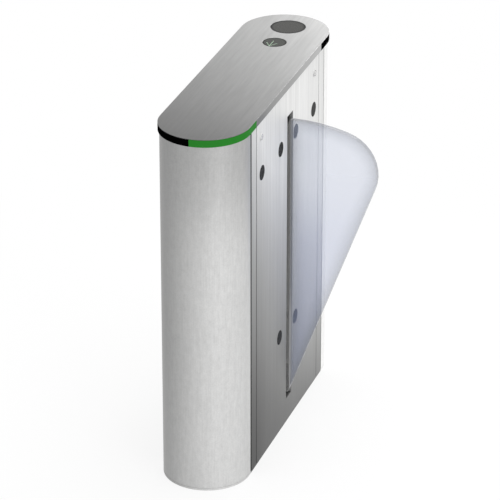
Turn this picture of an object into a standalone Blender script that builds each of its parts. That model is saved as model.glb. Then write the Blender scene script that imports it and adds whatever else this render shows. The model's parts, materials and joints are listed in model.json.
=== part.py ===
"""A retractable-wing gate cabinet, modelled piece by piece in metres.

The origin is the middle of the base, on the floor. +X points out of the side that the wing
leaves, +Y runs along the cabinet and +Z is up. The wing stands out, as it does when closed.
"""

import math

import bmesh
import bpy
from mathutils import Matrix, Vector

# Overall body
CABINET_HEIGHT = 1.000
BODY_WIDTH = 0.232
STRAIGHT_LENGTH = 0.638
LID_OVERHANG = 0.004
LID_THICKNESS = 0.021
LID_SHEET = 0.0015
WALL_SHEET = 0.0015
BASE_THICKNESS = 0.006

# Clearances
FIT_GAP = 0.0003
SEAM_GAP = 0.0020
COLUMN_SEAM = 0.0030
CUT_OVERRUN = 0.010
WELD_DISTANCE = 0.00003

# Columns, posts and long panels
COLUMN_REACH = 0.014
POST_STRIP = 0.041
POST_DEPTH = 0.024
REBATE_DEPTH = WALL_SHEET + FIT_GAP
REBATE_WIDTH = 0.014
RING_WIDTH = 0.020
RING_THICKNESS = 0.004
RING_DROP = 0.089

# Base plate holes
ANCHOR_RADIUS = 0.007
ANCHOR_OUT = 0.075
ANCHOR_END_MARGIN = 0.044
CABLE_SLOT_WIDTH = 0.060
CABLE_SLOT_LENGTH = 0.070
CABLE_SLOT_ALONG = 0.165
CABLE_SLOT_CORNER = 0.010

# Slot for the wing
SLOT_BOTTOM = 0.070
SLOT_DROP = 0.100
SLOT_NEAR = -0.010
SLOT_FAR = 0.038
SLOT_LIP = 0.010

# Sensor lenses. The outer ones keep a margin to the panel's ends, the upper row a drop from the top
LENS_RADIUS = 0.020
LENS_UPPER_DROP = 0.170
LENS_LOWER_HEIGHT = 0.285
LENS_INNER_ALONG = 0.0625
LENS_END_MARGIN = 0.0235
LENS_LOWER_ALONG = 0.067
LENS_FLANGE = 0.003
LENS_FLANGE_THICKNESS = 0.002
LENS_PROUD = 0.0004
SENSOR_RADIUS = 0.009
SENSOR_LENGTH = 0.036
SENSOR_NUT_RADIUS = 0.013
SENSOR_NUT_LENGTH = 0.005

# Lid, its bands and what it holds
BAND_START_TURN = math.radians(-91.0)
BAND_NEAR_REACH = 0.047
BAND_FAR_REACH = 0.052
BAND_THICKNESS = 0.004
BAND_JOINT = 0.0006
BOARD_THICKNESS = 0.0016
BOARD_WIDTH = 0.011
READER_END_MARGIN = 0.0415
READER_RADIUS = 0.0475
READER_FLANGE = 0.004
WINDOW_SPACING = 0.0365
INDICATOR_RADIUS = 0.032
WINDOW_THICKNESS = 0.0020
READER_BOX_WIDTH = 0.078
READER_BOX_HEIGHT = 0.020
READER_BOX_CORNER = 0.004
INDICATOR_BOARD_RADIUS = 0.028

# Lid locks
LOCK_END_MARGIN = 0.037
LOCK_RISE = 0.017
LOCK_RADIUS = 0.0085
LOCK_HEAD_RADIUS = 0.0105
LOCK_HEAD_PROUD = 0.0015
LOCK_BARREL_LENGTH = 0.020
LOCK_SPINDLE_RADIUS = 0.004
LOCK_CAM_THICKNESS = 0.003
LOCK_CAM_REACH = 0.030
LOCK_CAM_WIDTH = 0.014
KEEPER_THICKNESS = 0.003
KEEPER_WIDTH = 0.012
KEEPER_LIP = 0.016
KEEPER_RUNNING_GAP = 0.0015

# Lid hinges, gooseneck arms on pins
HINGE_IN = 0.016
HINGE_DOWN = 0.035
HINGE_END_MARGIN = 0.059
HINGE_PIN_RADIUS = 0.003
HINGE_BOSS_RADIUS = 0.006
HINGE_PLATE = 0.003
HINGE_ARM_REACH = 0.022
HINGE_ARM_WIDTH = 0.010
HINGE_FOOT = 0.014

# Wing, measured from its pivot
PIVOT_HEIGHT = 0.090
WING_SWING = math.radians(16.0)
WING_NEAR = 0.018
WING_THICKNESS = 0.015
WING_EDGE_OUT = 0.1164
WING_EDGE_LEAN = math.radians(20.3)
WING_EDGE_DROP = 0.012
WING_TOP_CLEARANCE = 0.0207
WING_TOP_RADIUS = 0.500
WING_TOP_CENTRE_OUT = 0.130
WING_TIP_RADIUS = 0.115
WING_INNER_OUT = 0.112
WING_KNEE_IN = 0.0196
WING_FOOT_IN = 0.028
WING_FOOT_HEIGHT = 0.050

# Swing arm, clamp and shaft
SHAFT_RADIUS = 0.010
SHAFT_NEAR = -0.044
SHAFT_FAR = 0.082
HUB_RADIUS = 0.022
HUB_NEAR = -0.016
ARM_THICKNESS = 0.010
ARM_ROOT_RADIUS = 0.028
ARM_ABOVE_KNEE = 0.090
ARM_TOP_WIDTH = 0.040
ARM_INSET = 0.003
CLAMP_THICKNESS = 0.006
CLAMP_BOTTOM = 0.064
CLAMP_WIDTH = 0.038
BOLT_RADIUS = 0.004
BOLT_HEAD_RADIUS = 0.0075
BOLT_HEAD_LENGTH = 0.0055
BOLT_LOW = 0.100
BOLT_TOP_MARGIN = 0.050
BOLT_COUNT = 3

# Toothed sector and pinion
GEAR_MODULE = 0.002
SECTOR_TEETH = 110
PINION_TEETH = 18
SECTOR_TOOTH_COUNT = 11
SECTOR_FIRST_TOOTH = -8
SECTOR_THICKNESS = 0.012
SECTOR_HALF_SPREAD = math.radians(20.0)
SECTOR_HUB_WALL = 0.010
SECTOR_FLANK_START = 0.062
SECTOR_HOLE_RADIUS = 0.005
SECTOR_HOLE_RING = 0.078
PRESSURE_ANGLE = math.radians(20.0)
TOOTH_PLAY = 0.0003
FLANK_STEPS = 4
ADDENDUM_SHARE = 1.0
DEDENDUM_SHARE = 1.25
PINION_SHIFT = 0.001
PINION_SHAFT_RADIUS = 0.006
PINION_SHAFT_SEAT = 0.022

# Drive frame, bearings, stops
FRAME_PLATE = 0.006
FRAME_NEAR = -0.020
FRAME_FAR = 0.058
FRAME_HALF_WIDTH = 0.082
FRAME_NEAR_TOP = 0.268
FRAME_FAR_TOP = 0.150
FRAME_FOOT = 0.008
FRAME_FOOT_MARGIN = 0.020
FRAME_TOP_HALF_WIDTH = 0.050
SHAFT_HOLE_SPARE = 0.004
BEARING_FLANGE_RADIUS = 0.030
BEARING_FLANGE = 0.005
BEARING_BOSS_RADIUS = 0.020
BEARING_BOSS = 0.008
STOP_RING = 0.088
STOP_RADIUS = 0.0055
STOP_LENGTH = 0.012
STOP_TAB_THICKNESS = 0.006
STOP_TAB_WIDTH = 0.020

# Gearbox and motor
GEARBOX_WIDTH = 0.080
GEARBOX_HEIGHT = 0.080
GEARBOX_DEPTH = 0.060
GEARBOX_CORNER = 0.006
GEARBOX_BOSS_RADIUS = 0.014
GEARBOX_BOSS_LENGTH = 0.005
MOTOR_RADIUS = 0.028
MOTOR_LENGTH = 0.130
MOTOR_FLANGE = 0.008
MOTOR_CAP = 0.022
MOTOR_WAIST_RADIUS = 0.026

# Position sensors
PROBE_RADIUS = 0.004
PROBE_LENGTH = 0.040
PROBE_NUT_RADIUS = 0.0075
PROBE_NUT = 0.004
PROBE_RING = 0.078
PROBE_FACE_GAP = 0.0015

# Electronics
TRAY_THICKNESS = 0.002
TRAY_END_MARGIN = 0.024
TRAY_FAR = -0.075
TRAY_FOOT = 0.025
BOX_CORNER = 0.004
CONTROLLER_HEIGHT = 0.190
CONTROLLER_LENGTH = 0.130
CONTROLLER_DEPTH = 0.045
CONTROLLER_BOTTOM = 0.500
SUPPLY_HEIGHT = 0.160
SUPPLY_LENGTH = 0.100
SUPPLY_DEPTH = 0.038
SUPPLY_BOTTOM = 0.250

# Faceting
END_STEPS = 32
ROUND_SIDES = 32
SMALL_SIDES = 16
ARC_STEPS = 10
SMOOTH_TURN = math.radians(35.0)

# Places that follow from the sizes above
HALF_BODY = BODY_WIDTH / 2
HALF_LID = HALF_BODY + LID_OVERHANG
END_CENTRE = STRAIGHT_LENGTH / 2
WALL_BOTTOM = BASE_THICKNESS + FIT_GAP
LID_BOTTOM = CABINET_HEIGHT - LID_THICKNESS
WALL_TOP = LID_BOTTOM - FIT_GAP
LID_UNDERSIDE = CABINET_HEIGHT - LID_SHEET
RING_HEIGHT = CABINET_HEIGHT - RING_DROP
SLOT_TOP = CABINET_HEIGHT - SLOT_DROP
LENS_UPPER_HEIGHT = CABINET_HEIGHT - LENS_UPPER_DROP
LOCK_HEIGHT = RING_HEIGHT + RING_THICKNESS + LOCK_RISE
WING_TOP = SLOT_TOP - PIVOT_HEIGHT - WING_TOP_CLEARANCE
WING_INNER_ACROSS = WING_INNER_OUT - WING_TOP_CENTRE_OUT
WING_INNER_DIP = WING_TOP_RADIUS - math.sqrt(WING_TOP_RADIUS ** 2 - WING_INNER_ACROSS ** 2)
WING_INNER_TOP = WING_TOP - WING_INNER_DIP
WING_KNEE = WING_INNER_TOP - (WING_INNER_OUT + WING_KNEE_IN) / math.tan(WING_SWING)
ARM_TOP = WING_KNEE + ARM_ABOVE_KNEE
BOLT_STEP = (ARM_TOP - BOLT_TOP_MARGIN - BOLT_LOW) / (BOLT_COUNT - 1)
WALL_INSIDE = HALF_BODY - WALL_SHEET
COLUMN_EDGE = END_CENTRE - COLUMN_REACH
POST_START = COLUMN_EDGE - COLUMN_SEAM
POST_END = POST_START - POST_STRIP
PANEL_HALF_LENGTH = POST_END - SEAM_GAP
ANCHOR_ALONG = END_CENTRE - ANCHOR_END_MARGIN
LENS_OUTER_ALONG = PANEL_HALF_LENGTH - LENS_END_MARGIN - LENS_RADIUS
LOCK_ALONG = PANEL_HALF_LENGTH - LOCK_END_MARGIN
HINGE_ALONG = PANEL_HALF_LENGTH - HINGE_END_MARGIN
TRAY_NEAR = TRAY_END_MARGIN - PANEL_HALF_LENGTH
BAND_NEAR_ALONG = END_CENTRE - BAND_NEAR_REACH
BAND_FAR_ALONG = END_CENTRE - BAND_FAR_REACH
READER_ALONG = END_CENTRE + HALF_LID - READER_END_MARGIN - READER_RADIUS
INDICATOR_ALONG = READER_ALONG - READER_RADIUS - WINDOW_SPACING - INDICATOR_RADIUS
RING_HALF_WIDTH = HALF_BODY - POST_DEPTH - FIT_GAP
WING_FAR = WING_NEAR + WING_THICKNESS
ARM_FAR = WING_NEAR - FIT_GAP
ARM_NEAR = ARM_FAR - ARM_THICKNESS
CLAMP_NEAR = WING_FAR + FIT_GAP
CLAMP_FAR = CLAMP_NEAR + CLAMP_THICKNESS
SECTOR_FAR = ARM_NEAR - FIT_GAP
SECTOR_NEAR = SECTOR_FAR - SECTOR_THICKNESS
SECTOR_RADIUS = GEAR_MODULE * SECTOR_TEETH / 2
PINION_RADIUS = GEAR_MODULE * PINION_TEETH / 2
PINION_HEIGHT = PIVOT_HEIGHT + SECTOR_RADIUS + PINION_RADIUS
TOOTH_STEP = math.tau / SECTOR_TEETH
STRAIGHT_UP = math.pi / 2
SECTOR_MIDDLE = STRAIGHT_UP - WING_SWING / 2
STOP_TURN = WING_SWING / 2 + SECTOR_HALF_SPREAD
GEARBOX_FAR = FRAME_NEAR - FRAME_PLATE - FIT_GAP
GEARBOX_NEAR = GEARBOX_FAR - GEARBOX_DEPTH
GEARBOX_TOP = PINION_HEIGHT + GEARBOX_HEIGHT / 2
MOTOR_ALONG = (GEARBOX_FAR + GEARBOX_NEAR) / 2
HINGE_OUT = -(HALF_BODY - HINGE_IN)
HINGE_HEIGHT = CABINET_HEIGHT - HINGE_DOWN
LOCK_CAM_FAR = WALL_INSIDE - LOCK_BARREL_LENGTH - FIT_GAP
TRAY_OUT = -(RING_HALF_WIDTH - TRAY_THICKNESS)

AXIS_TURNS = {
    "X": Matrix.Rotation(math.pi / 2, 4, "Y"),
    "Y": Matrix.Rotation(-math.pi / 2, 4, "X"),
    "Z": Matrix.Identity(4),
}
PLANE_TURNS = {
    "XY": Matrix.Identity(4),
    "XZ": Matrix(((1, 0, 0, 0), (0, 0, -1, 0), (0, 1, 0, 0), (0, 0, 0, 1))),
    "YZ": Matrix(((0, 0, 1, 0), (1, 0, 0, 0), (0, 1, 0, 0), (0, 0, 0, 1))),
}
PLANE_NORMALS = {"XY": Vector((0, 0, 1)), "XZ": Vector((0, 1, 0)), "YZ": Vector((1, 0, 0))}


# Scene, collections and materials

def clear_scene():
    for old in list(bpy.data.objects):
        bpy.data.objects.remove(old, do_unlink=True)


def new_collection(name):
    collection = bpy.data.collections.new(name)
    bpy.context.scene.collection.children.link(collection)
    return collection


clear_scene()
PARTS = new_collection("wing_gate_cabinet")
CUTTERS = new_collection("cutters")


def new_material(name, colour, roughness, metallic):
    material = bpy.data.materials.new(name)
    material.use_nodes = True
    shader = material.node_tree.nodes["Principled BSDF"]
    shader.inputs["Base Color"].default_value = (*colour, 1.0)
    shader.inputs["Roughness"].default_value = roughness
    shader.inputs["Metallic"].default_value = metallic
    return material


STEEL = new_material("brushed_steel", (0.62, 0.62, 0.61), 0.35, 1.0)
PLATED = new_material("plated_steel", (0.45, 0.46, 0.48), 0.40, 1.0)
ALUMINIUM = new_material("aluminium", (0.70, 0.71, 0.72), 0.35, 1.0)
GEAR_STEEL = new_material("gear_steel", (0.30, 0.31, 0.33), 0.35, 1.0)
RUBBER = new_material("rubber", (0.02, 0.02, 0.02), 0.80, 0.0)
BLACK_PLASTIC = new_material("black_plastic", (0.01, 0.01, 0.01), 0.30, 0.0)
SMOKED = new_material("smoked_lens", (0.04, 0.04, 0.04), 0.25, 0.0)
GREEN = new_material("green_diffuser", (0.03, 0.26, 0.03), 0.35, 0.0)
FROSTED = new_material("frosted_acrylic", (0.75, 0.79, 0.86), 0.50, 0.0)
BOARD_GREEN = new_material("circuit_board", (0.02, 0.12, 0.05), 0.50, 0.0)
PAINTED = new_material("painted_casting", (0.18, 0.20, 0.22), 0.45, 0.0)
BLACK_STEEL = new_material("black_steel", (0.03, 0.03, 0.035), 0.45, 0.6)


# Shapes

def place_mesh(name, shape, collection=PARTS):
    """Makes an object from a bmesh whose points are world coordinates."""
    mesh = bpy.data.meshes.new(name)
    shape.to_mesh(mesh)
    shape.free()
    made = bpy.data.objects.new(name, mesh)
    collection.objects.link(made)
    return made


def box(name, low, high):
    low = Vector(low)
    high = Vector(high)
    size = high - low
    shape = bmesh.new()
    place = Matrix.Translation((low + high) / 2) @ Matrix.Diagonal((*size, 1.0))
    bmesh.ops.create_cube(shape, size=1.0, matrix=place)
    return place_mesh(name, shape)


def rod(name, radius, axis, start, end, at, sides=ROUND_SIDES):
    """A solid cylinder along an axis. at holds its other two coordinates and a zero."""
    middle = Vector(at) + AXIS_TURNS[axis] @ Vector((0, 0, (start + end) / 2))
    shape = bmesh.new()
    bmesh.ops.create_cone(
        shape, cap_ends=True, segments=sides, radius1=radius, radius2=radius,
        depth=end - start, matrix=Matrix.Translation(middle) @ AXIS_TURNS[axis],
    )
    made = place_mesh(name, shape)
    smooth_round(made)
    return made


def smooth_round(made):
    made.data.shade_smooth()
    made.data.set_sharp_from_angle(angle=SMOOTH_TURN)


def flat_piece(name, loops, plane, start, end):
    """A flat outline with holes, as thick as the stretch from start to end across its plane."""
    curve = bpy.data.curves.new(name, "CURVE")
    curve.dimensions = "2D"
    curve.fill_mode = "BOTH"
    curve.extrude = (end - start) / 2
    for loop in loops:
        spline = curve.splines.new("POLY")
        spline.points.add(len(loop) - 1)
        for point, (across, up) in zip(spline.points, loop):
            point.co = (across, up, 0.0, 1.0)
        spline.use_cyclic_u = True
    drawn = bpy.data.objects.new(name, curve)
    PARTS.objects.link(drawn)
    middle = PLANE_NORMALS[plane] * ((start + end) / 2)
    drawn.matrix_world = Matrix.Translation(middle) @ PLANE_TURNS[plane]
    return made_mesh(drawn)


def made_mesh(drawn):
    """Turns a drawn curve into a mesh with its caps welded, and removes the curve."""
    bpy.context.view_layer.update()
    name = drawn.name
    depsgraph = bpy.context.evaluated_depsgraph_get()
    mesh = bpy.data.meshes.new_from_object(drawn.evaluated_get(depsgraph))
    shape = bmesh.new()
    shape.from_mesh(mesh)
    bmesh.ops.remove_doubles(shape, verts=shape.verts, dist=WELD_DISTANCE)
    shape.to_mesh(mesh)
    shape.free()
    place = drawn.matrix_world.copy()
    bpy.data.objects.remove(drawn, do_unlink=True)
    made = bpy.data.objects.new(name, mesh)
    made.matrix_world = place
    PARTS.objects.link(made)
    smooth_round(made)
    return made


def bent_sheet(name, path, bottom, top, thickness):
    """A sheet that stands on a path seen from above. Its outer side is to the path's right."""
    shape = bmesh.new()
    low = [shape.verts.new((across, along, bottom)) for across, along in path]
    edges = [shape.edges.new(pair) for pair in zip(low, low[1:])]
    risen = bmesh.ops.extrude_edge_only(shape, edges=edges)
    raised = [item for item in risen["geom"] if isinstance(item, bmesh.types.BMVert)]
    bmesh.ops.translate(shape, verts=raised, vec=(0, 0, top - bottom))
    shape.faces.ensure_lookup_table()
    first = low[1].co - low[0].co
    outward = first.cross(Vector((0, 0, 1)))
    shape.normal_update()
    front = min(shape.faces, key=lambda face: (face.calc_center_median() - low[0].co).length)
    if front.normal.dot(outward) < 0:
        bmesh.ops.reverse_faces(shape, faces=shape.faces)
    made = place_mesh(name, shape)
    wall = made.modifiers.new("wall", "SOLIDIFY")
    wall.thickness = thickness
    wall.offset = -1.0
    wall.use_even_offset = True
    smooth_round(made)
    return made


def turned(name, profile, place, sides=ROUND_SIDES):
    """A turned solid. The profile runs down the outer side, as (radius, height) pairs."""
    shape = bmesh.new()
    points = [shape.verts.new((radius, 0.0, height)) for radius, height in profile]
    for pair in zip(points, points[1:]):
        shape.edges.new(pair)
    if profile[0][0] > 0:
        shape.edges.new((points[-1], points[0]))
    made = place_mesh(name, shape)
    made.matrix_world = place
    spin = made.modifiers.new("spin", "SCREW")
    spin.steps = sides
    spin.render_steps = sides
    spin.use_merge_vertices = True
    spin.merge_threshold = WELD_DISTANCE
    spin.use_smooth_shade = False
    return made


def combine(target, tool, operation):
    """Joins the tool to the target, or cuts it out, and puts the tool with the cutters."""
    step = target.modifiers.new(operation.lower(), "BOOLEAN")
    step.operation = operation
    step.solver = "EXACT"
    step.object = tool
    PARTS.objects.unlink(tool)
    CUTTERS.objects.link(tool)
    tool.name = target.name + "_" + operation.lower()
    tool.hide_render = True
    tool.display_type = "WIRE"
    return target


def join(target, tool):
    return combine(target, tool, "UNION")


def cut(target, tool):
    return combine(target, tool, "DIFFERENCE")


def round_edges(made, width, segments=2):
    bevel = made.modifiers.new("round_edges", "BEVEL")
    bevel.width = width
    bevel.segments = segments
    bevel.limit_method = "ANGLE"
    return made


def paint(made, material):
    made.data.materials.clear()
    made.data.materials.append(material)
    return made


def joint_empty(name, place):
    empty = bpy.data.objects.new(name, None)
    empty.location = place
    PARTS.objects.link(empty)
    return empty


def hang_on(empty, pieces):
    """Parents pieces to their joint's empty without moving them."""
    bpy.context.view_layer.update()
    for piece in pieces:
        world = piece.matrix_world.copy()
        piece.parent = empty
        piece.matrix_parent_inverse = empty.matrix_world.inverted()
        piece.matrix_world = world


# Outlines

def arc(centre, radius, start, end, steps):
    """Points on an arc, both ends included."""
    turns = [start + (end - start) * step / steps for step in range(steps + 1)]
    return [(centre[0] + radius * math.cos(t), centre[1] + radius * math.sin(t)) for t in turns]


def circle(centre, radius, sides=ROUND_SIDES):
    return arc(centre, radius, 0.0, math.tau, sides)[:-1]


def stadium(half_width, end_centre=END_CENTRE):
    far = arc((0, end_centre), half_width, 0.0, math.pi, END_STEPS)
    near = arc((0, -end_centre), half_width, math.pi, math.tau, END_STEPS)
    return far + near


def rounded_box(centre, width, height, corner, steps=4):
    """A rectangle with round corners, counterclockwise from its lower right corner."""
    right = centre[0] + width / 2 - corner
    left = centre[0] - width / 2 + corner
    top = centre[1] + height / 2 - corner
    bottom = centre[1] - height / 2 + corner
    points = []
    corners = ((right, bottom), (right, top), (left, top), (left, bottom))
    for index, place in enumerate(corners):
        start = (index - 1) * math.pi / 2
        points += arc(place, corner, start, start + math.pi / 2, steps)
    return points


def mirrored(path, flip_across, flip_along):
    """Flips a path seen from above, and keeps its outer side to its right."""
    across = -1 if flip_across else 1
    along = -1 if flip_along else 1
    flipped = [(x * across, y * along) for x, y in path]
    return flipped if across == along else flipped[::-1]


def from_pivot(points):
    """Takes points measured from the wing's pivot to points measured from the floor."""
    return [(out, up + PIVOT_HEIGHT) for out, up in points]


def polar(radius, turn):
    return (radius * math.cos(turn), radius * math.sin(turn))


def involute(turn):
    return math.tan(turn) - turn


def tooth(teeth, middle):
    """One gear tooth as points in rising order of angle, round the gear's own centre."""
    pitch_radius = GEAR_MODULE * teeth / 2
    base_radius = pitch_radius * math.cos(PRESSURE_ANGLE)
    tip_radius = pitch_radius + GEAR_MODULE * ADDENDUM_SHARE
    root_radius = pitch_radius - GEAR_MODULE * DEDENDUM_SHARE
    half_thickness = (math.pi * GEAR_MODULE / 2 - TOOTH_PLAY) / 2
    half_at_pitch = half_thickness / pitch_radius
    start = max(base_radius, root_radius)
    flank = []
    for step in range(FLANK_STEPS + 1):
        radius = start + (tip_radius - start) * step / FLANK_STEPS
        pressure = math.acos(base_radius / radius)
        half = half_at_pitch + involute(PRESSURE_ANGLE) - involute(pressure)
        flank.append((radius, half))
    if root_radius < base_radius:
        flank.insert(0, (root_radius, flank[0][1]))
    rising = [polar(radius, middle - half) for radius, half in flank]
    falling = [polar(radius, middle + half) for radius, half in reversed(flank)]
    return rising + falling


# Body

def make_base_plate():
    loops = [stadium(HALF_BODY)]
    for across in (-ANCHOR_OUT, ANCHOR_OUT):
        for along in (-ANCHOR_ALONG, ANCHOR_ALONG):
            loops.append(circle((across, along), ANCHOR_RADIUS, SMALL_SIDES))
    for along in (-CABLE_SLOT_ALONG, CABLE_SLOT_ALONG):
        loops.append(
            rounded_box((0, along), CABLE_SLOT_WIDTH, CABLE_SLOT_LENGTH, CABLE_SLOT_CORNER)
        )
    return paint(flat_piece("base_plate", loops, "XY", 0.0, BASE_THICKNESS), STEEL)


def make_columns():
    round_end = arc((0, END_CENTRE), HALF_BODY, 0.0, math.pi, END_STEPS)
    path = [(HALF_BODY, COLUMN_EDGE)] + round_end + [(-HALF_BODY, COLUMN_EDGE)]
    for name, near in (("far_column_shell", False), ("near_column_shell", True)):
        turned_path = mirrored(path, near, near)
        paint(bent_sheet(name, turned_path, WALL_BOTTOM, WALL_TOP, WALL_SHEET), STEEL)


def make_corner_posts():
    """Each post shows a strip between two seams and carries the panel on a set-back lip."""
    lip = HALF_BODY - REBATE_DEPTH
    path = [
        (lip, POST_END - REBATE_WIDTH),
        (lip, POST_END),
        (HALF_BODY, POST_END),
        (HALF_BODY, POST_START),
        (HALF_BODY - POST_DEPTH, POST_START),
    ]
    places = (("flap_far", False, False), ("flap_near", False, True))
    places += (("service_far", True, False), ("service_near", True, True))
    for name, service_side, near in places:
        strip = mirrored(path, service_side, near)
        post = bent_sheet("corner_post_" + name, strip, WALL_BOTTOM, WALL_TOP, WALL_SHEET)
        paint(post, STEEL)


def make_top_ring():
    loops = [stadium(RING_HALF_WIDTH), stadium(RING_HALF_WIDTH - RING_WIDTH)]
    ring = flat_piece("top_ring", loops, "XY", RING_HEIGHT, RING_HEIGHT + RING_THICKNESS)
    return paint(ring, PLATED)


def lens_places():
    """The six lens centres, as (name, place along the panel, height)."""
    places = []
    for side, sign in (("near", -1), ("far", 1)):
        places.append(("upper_outer_" + side, sign * LENS_OUTER_ALONG, LENS_UPPER_HEIGHT))
        places.append(("upper_inner_" + side, sign * LENS_INNER_ALONG, LENS_UPPER_HEIGHT))
        places.append(("lower_" + side, sign * LENS_LOWER_ALONG, LENS_LOWER_HEIGHT))
    return places


def panel_outline():
    low = WALL_BOTTOM
    far = PANEL_HALF_LENGTH
    return [(-far, low), (far, low), (far, WALL_TOP), (-far, WALL_TOP)]


def slot_outline(spare):
    near = SLOT_NEAR - spare
    far = SLOT_FAR + spare
    low = SLOT_BOTTOM - spare
    high = SLOT_TOP + spare
    return [(near, low), (far, low), (far, high), (near, high)]


def make_flap_side_panel():
    loops = [panel_outline(), slot_outline(0.0)]
    for _, along, height in lens_places():
        loops.append(circle((along, height), LENS_RADIUS + FIT_GAP))
    for along in (-LOCK_ALONG, LOCK_ALONG):
        loops.append(circle((along, LOCK_HEIGHT), LOCK_RADIUS + FIT_GAP, SMALL_SIDES))
    panel = flat_piece("flap_side_panel", loops, "YZ", WALL_INSIDE, HALF_BODY)
    collar_loops = [slot_outline(WALL_SHEET), slot_outline(0.0)]
    collar_start = HALF_BODY - SLOT_LIP
    collar_end = HALF_BODY - WALL_SHEET / 2
    collar = flat_piece("slot_collar", collar_loops, "YZ", collar_start, collar_end)
    return paint(join(panel, collar), STEEL)


def make_service_panel():
    panel = flat_piece("service_panel", [panel_outline()], "YZ", -HALF_BODY, -WALL_INSIDE)
    return paint(panel, STEEL)


# Lid

def band(name, path, material):
    top = LID_UNDERSIDE - FIT_GAP
    return paint(bent_sheet(name, path, LID_BOTTOM, top, BAND_THICKNESS), material)


def make_lid():
    loops = [stadium(HALF_LID)]
    loops.append(circle((0, READER_ALONG), READER_RADIUS + FIT_GAP))
    loops.append(circle((0, INDICATOR_ALONG), INDICATOR_RADIUS + FIT_GAP))
    lid = flat_piece("lid", loops, "XY", LID_UNDERSIDE, CABINET_HEIGHT)
    middle = CABINET_HEIGHT - LID_SHEET / 2
    rim_near = -BAND_NEAR_ALONG + BAND_JOINT
    rim_far = BAND_FAR_ALONG - BAND_JOINT
    for side in (-1, 1):
        outer = side * HALF_LID
        inner = side * (HALF_LID - LID_SHEET)
        low = (min(outer, inner), rim_near, LID_BOTTOM)
        join(lid, box("rim", low, (max(outer, inner), rim_far, middle)))
    for side in (-1, 1):
        join(lid, make_keeper(side, middle))
    return paint(lid, STEEL)


def make_keeper(side, top):
    """A hook under the lid. Its lip lies below the lock's cam when the cam is turned to it."""
    web_start = LOCK_ALONG - LOCK_CAM_REACH - KEEPER_RUNNING_GAP
    lip_top = LOCK_HEIGHT - LOCK_CAM_WIDTH / 2 - KEEPER_RUNNING_GAP
    lip_end = web_start - KEEPER_THICKNESS + KEEPER_LIP
    outline = [
        (web_start - KEEPER_THICKNESS, lip_top - KEEPER_THICKNESS),
        (lip_end, lip_top - KEEPER_THICKNESS),
        (lip_end, lip_top),
        (web_start, lip_top),
        (web_start, top),
        (web_start - KEEPER_THICKNESS, top),
    ]
    outline = mirrored(outline, side < 0, False)
    middle = LOCK_CAM_FAR - LOCK_CAM_THICKNESS / 2
    start = middle - KEEPER_WIDTH / 2
    return flat_piece("keeper", [outline], "YZ", start, middle + KEEPER_WIDTH / 2)


def make_bands():
    near_centre = (0, -END_CENTRE)
    split = BAND_JOINT / HALF_LID / 2
    green = arc(near_centre, HALF_LID, BAND_START_TURN + split, 0.0, END_STEPS // 2)
    green.append((HALF_LID, -BAND_NEAR_ALONG))
    black_end = BAND_START_TURN - split
    black = arc(near_centre, HALF_LID, -math.pi, black_end, END_STEPS // 2)
    black.insert(0, (-HALF_LID, -BAND_NEAR_ALONG))
    far = arc((0, END_CENTRE), HALF_LID, 0.0, math.pi, END_STEPS)
    far = [(HALF_LID, BAND_FAR_ALONG)] + far + [(-HALF_LID, BAND_FAR_ALONG)]
    band("light_diffuser", green, GREEN)
    band("near_black_band", black, BLACK_PLASTIC)
    band("far_black_band", far, BLACK_PLASTIC)
    board_radius = HALF_LID - BAND_THICKNESS - FIT_GAP
    strip = arc(near_centre, board_radius, BAND_START_TURN + split, 0.0, END_STEPS // 2)
    strip.append((board_radius, -BAND_NEAR_ALONG))
    low = (LID_BOTTOM + LID_UNDERSIDE - BOARD_WIDTH) / 2
    board = bent_sheet("light_board", strip, low, low + BOARD_WIDTH, BOARD_THICKNESS)
    paint(board, BOARD_GREEN)


def window(name, along, radius):
    """A disc flush with the lid, on a wider flange below it."""
    flange_top = LID_UNDERSIDE - FIT_GAP
    profile = [
        (0.0, CABINET_HEIGHT),
        (radius, CABINET_HEIGHT),
        (radius, flange_top),
        (radius + READER_FLANGE, flange_top),
        (radius + READER_FLANGE, flange_top - WINDOW_THICKNESS),
        (0.0, flange_top - WINDOW_THICKNESS),
    ]
    made = turned(name, profile, Matrix.Translation((0, along, 0)), 2 * ROUND_SIDES)
    return paint(made, SMOKED)


def make_lid_fittings():
    window("reader_window", READER_ALONG, READER_RADIUS)
    window("indicator_window", INDICATOR_ALONG, INDICATOR_RADIUS)
    below = LID_UNDERSIDE - FIT_GAP - WINDOW_THICKNESS - FIT_GAP
    half = READER_BOX_WIDTH / 2
    low = (-half, READER_ALONG - half, below - READER_BOX_HEIGHT)
    reader = box("reader_module", low, (half, READER_ALONG + half, below))
    paint(round_edges(reader, READER_BOX_CORNER), BLACK_PLASTIC)
    at = (0, INDICATOR_ALONG, 0)
    board = rod("indicator_board", INDICATOR_BOARD_RADIUS, "Z", below - BOARD_THICKNESS, below, at)
    paint(board, BOARD_GREEN)


def make_locks():
    for side_name, side in (("near", -1), ("far", 1)):
        along = side * LOCK_ALONG
        barrel = make_lock_barrel("lock_barrel_" + side_name, along)
        paint(barrel, PLATED)
        axis = joint_empty("lock_axis_" + side_name, (LOCK_CAM_FAR, along, LOCK_HEIGHT))
        cam = make_lock_cam("lock_cam_" + side_name, along)
        hang_on(axis, [paint(cam, PLATED)])


def make_lock_barrel(name, along):
    head_start = HALF_BODY + FIT_GAP
    profile = [
        (0.0, head_start + LOCK_HEAD_PROUD),
        (LOCK_HEAD_RADIUS, head_start + LOCK_HEAD_PROUD),
        (LOCK_HEAD_RADIUS, head_start),
        (LOCK_RADIUS, head_start),
        (LOCK_RADIUS, WALL_INSIDE - LOCK_BARREL_LENGTH),
        (0.0, WALL_INSIDE - LOCK_BARREL_LENGTH),
    ]
    place = Matrix.Translation((0, along, LOCK_HEIGHT)) @ AXIS_TURNS["X"]
    return turned(name, profile, place, SMALL_SIDES)


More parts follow.
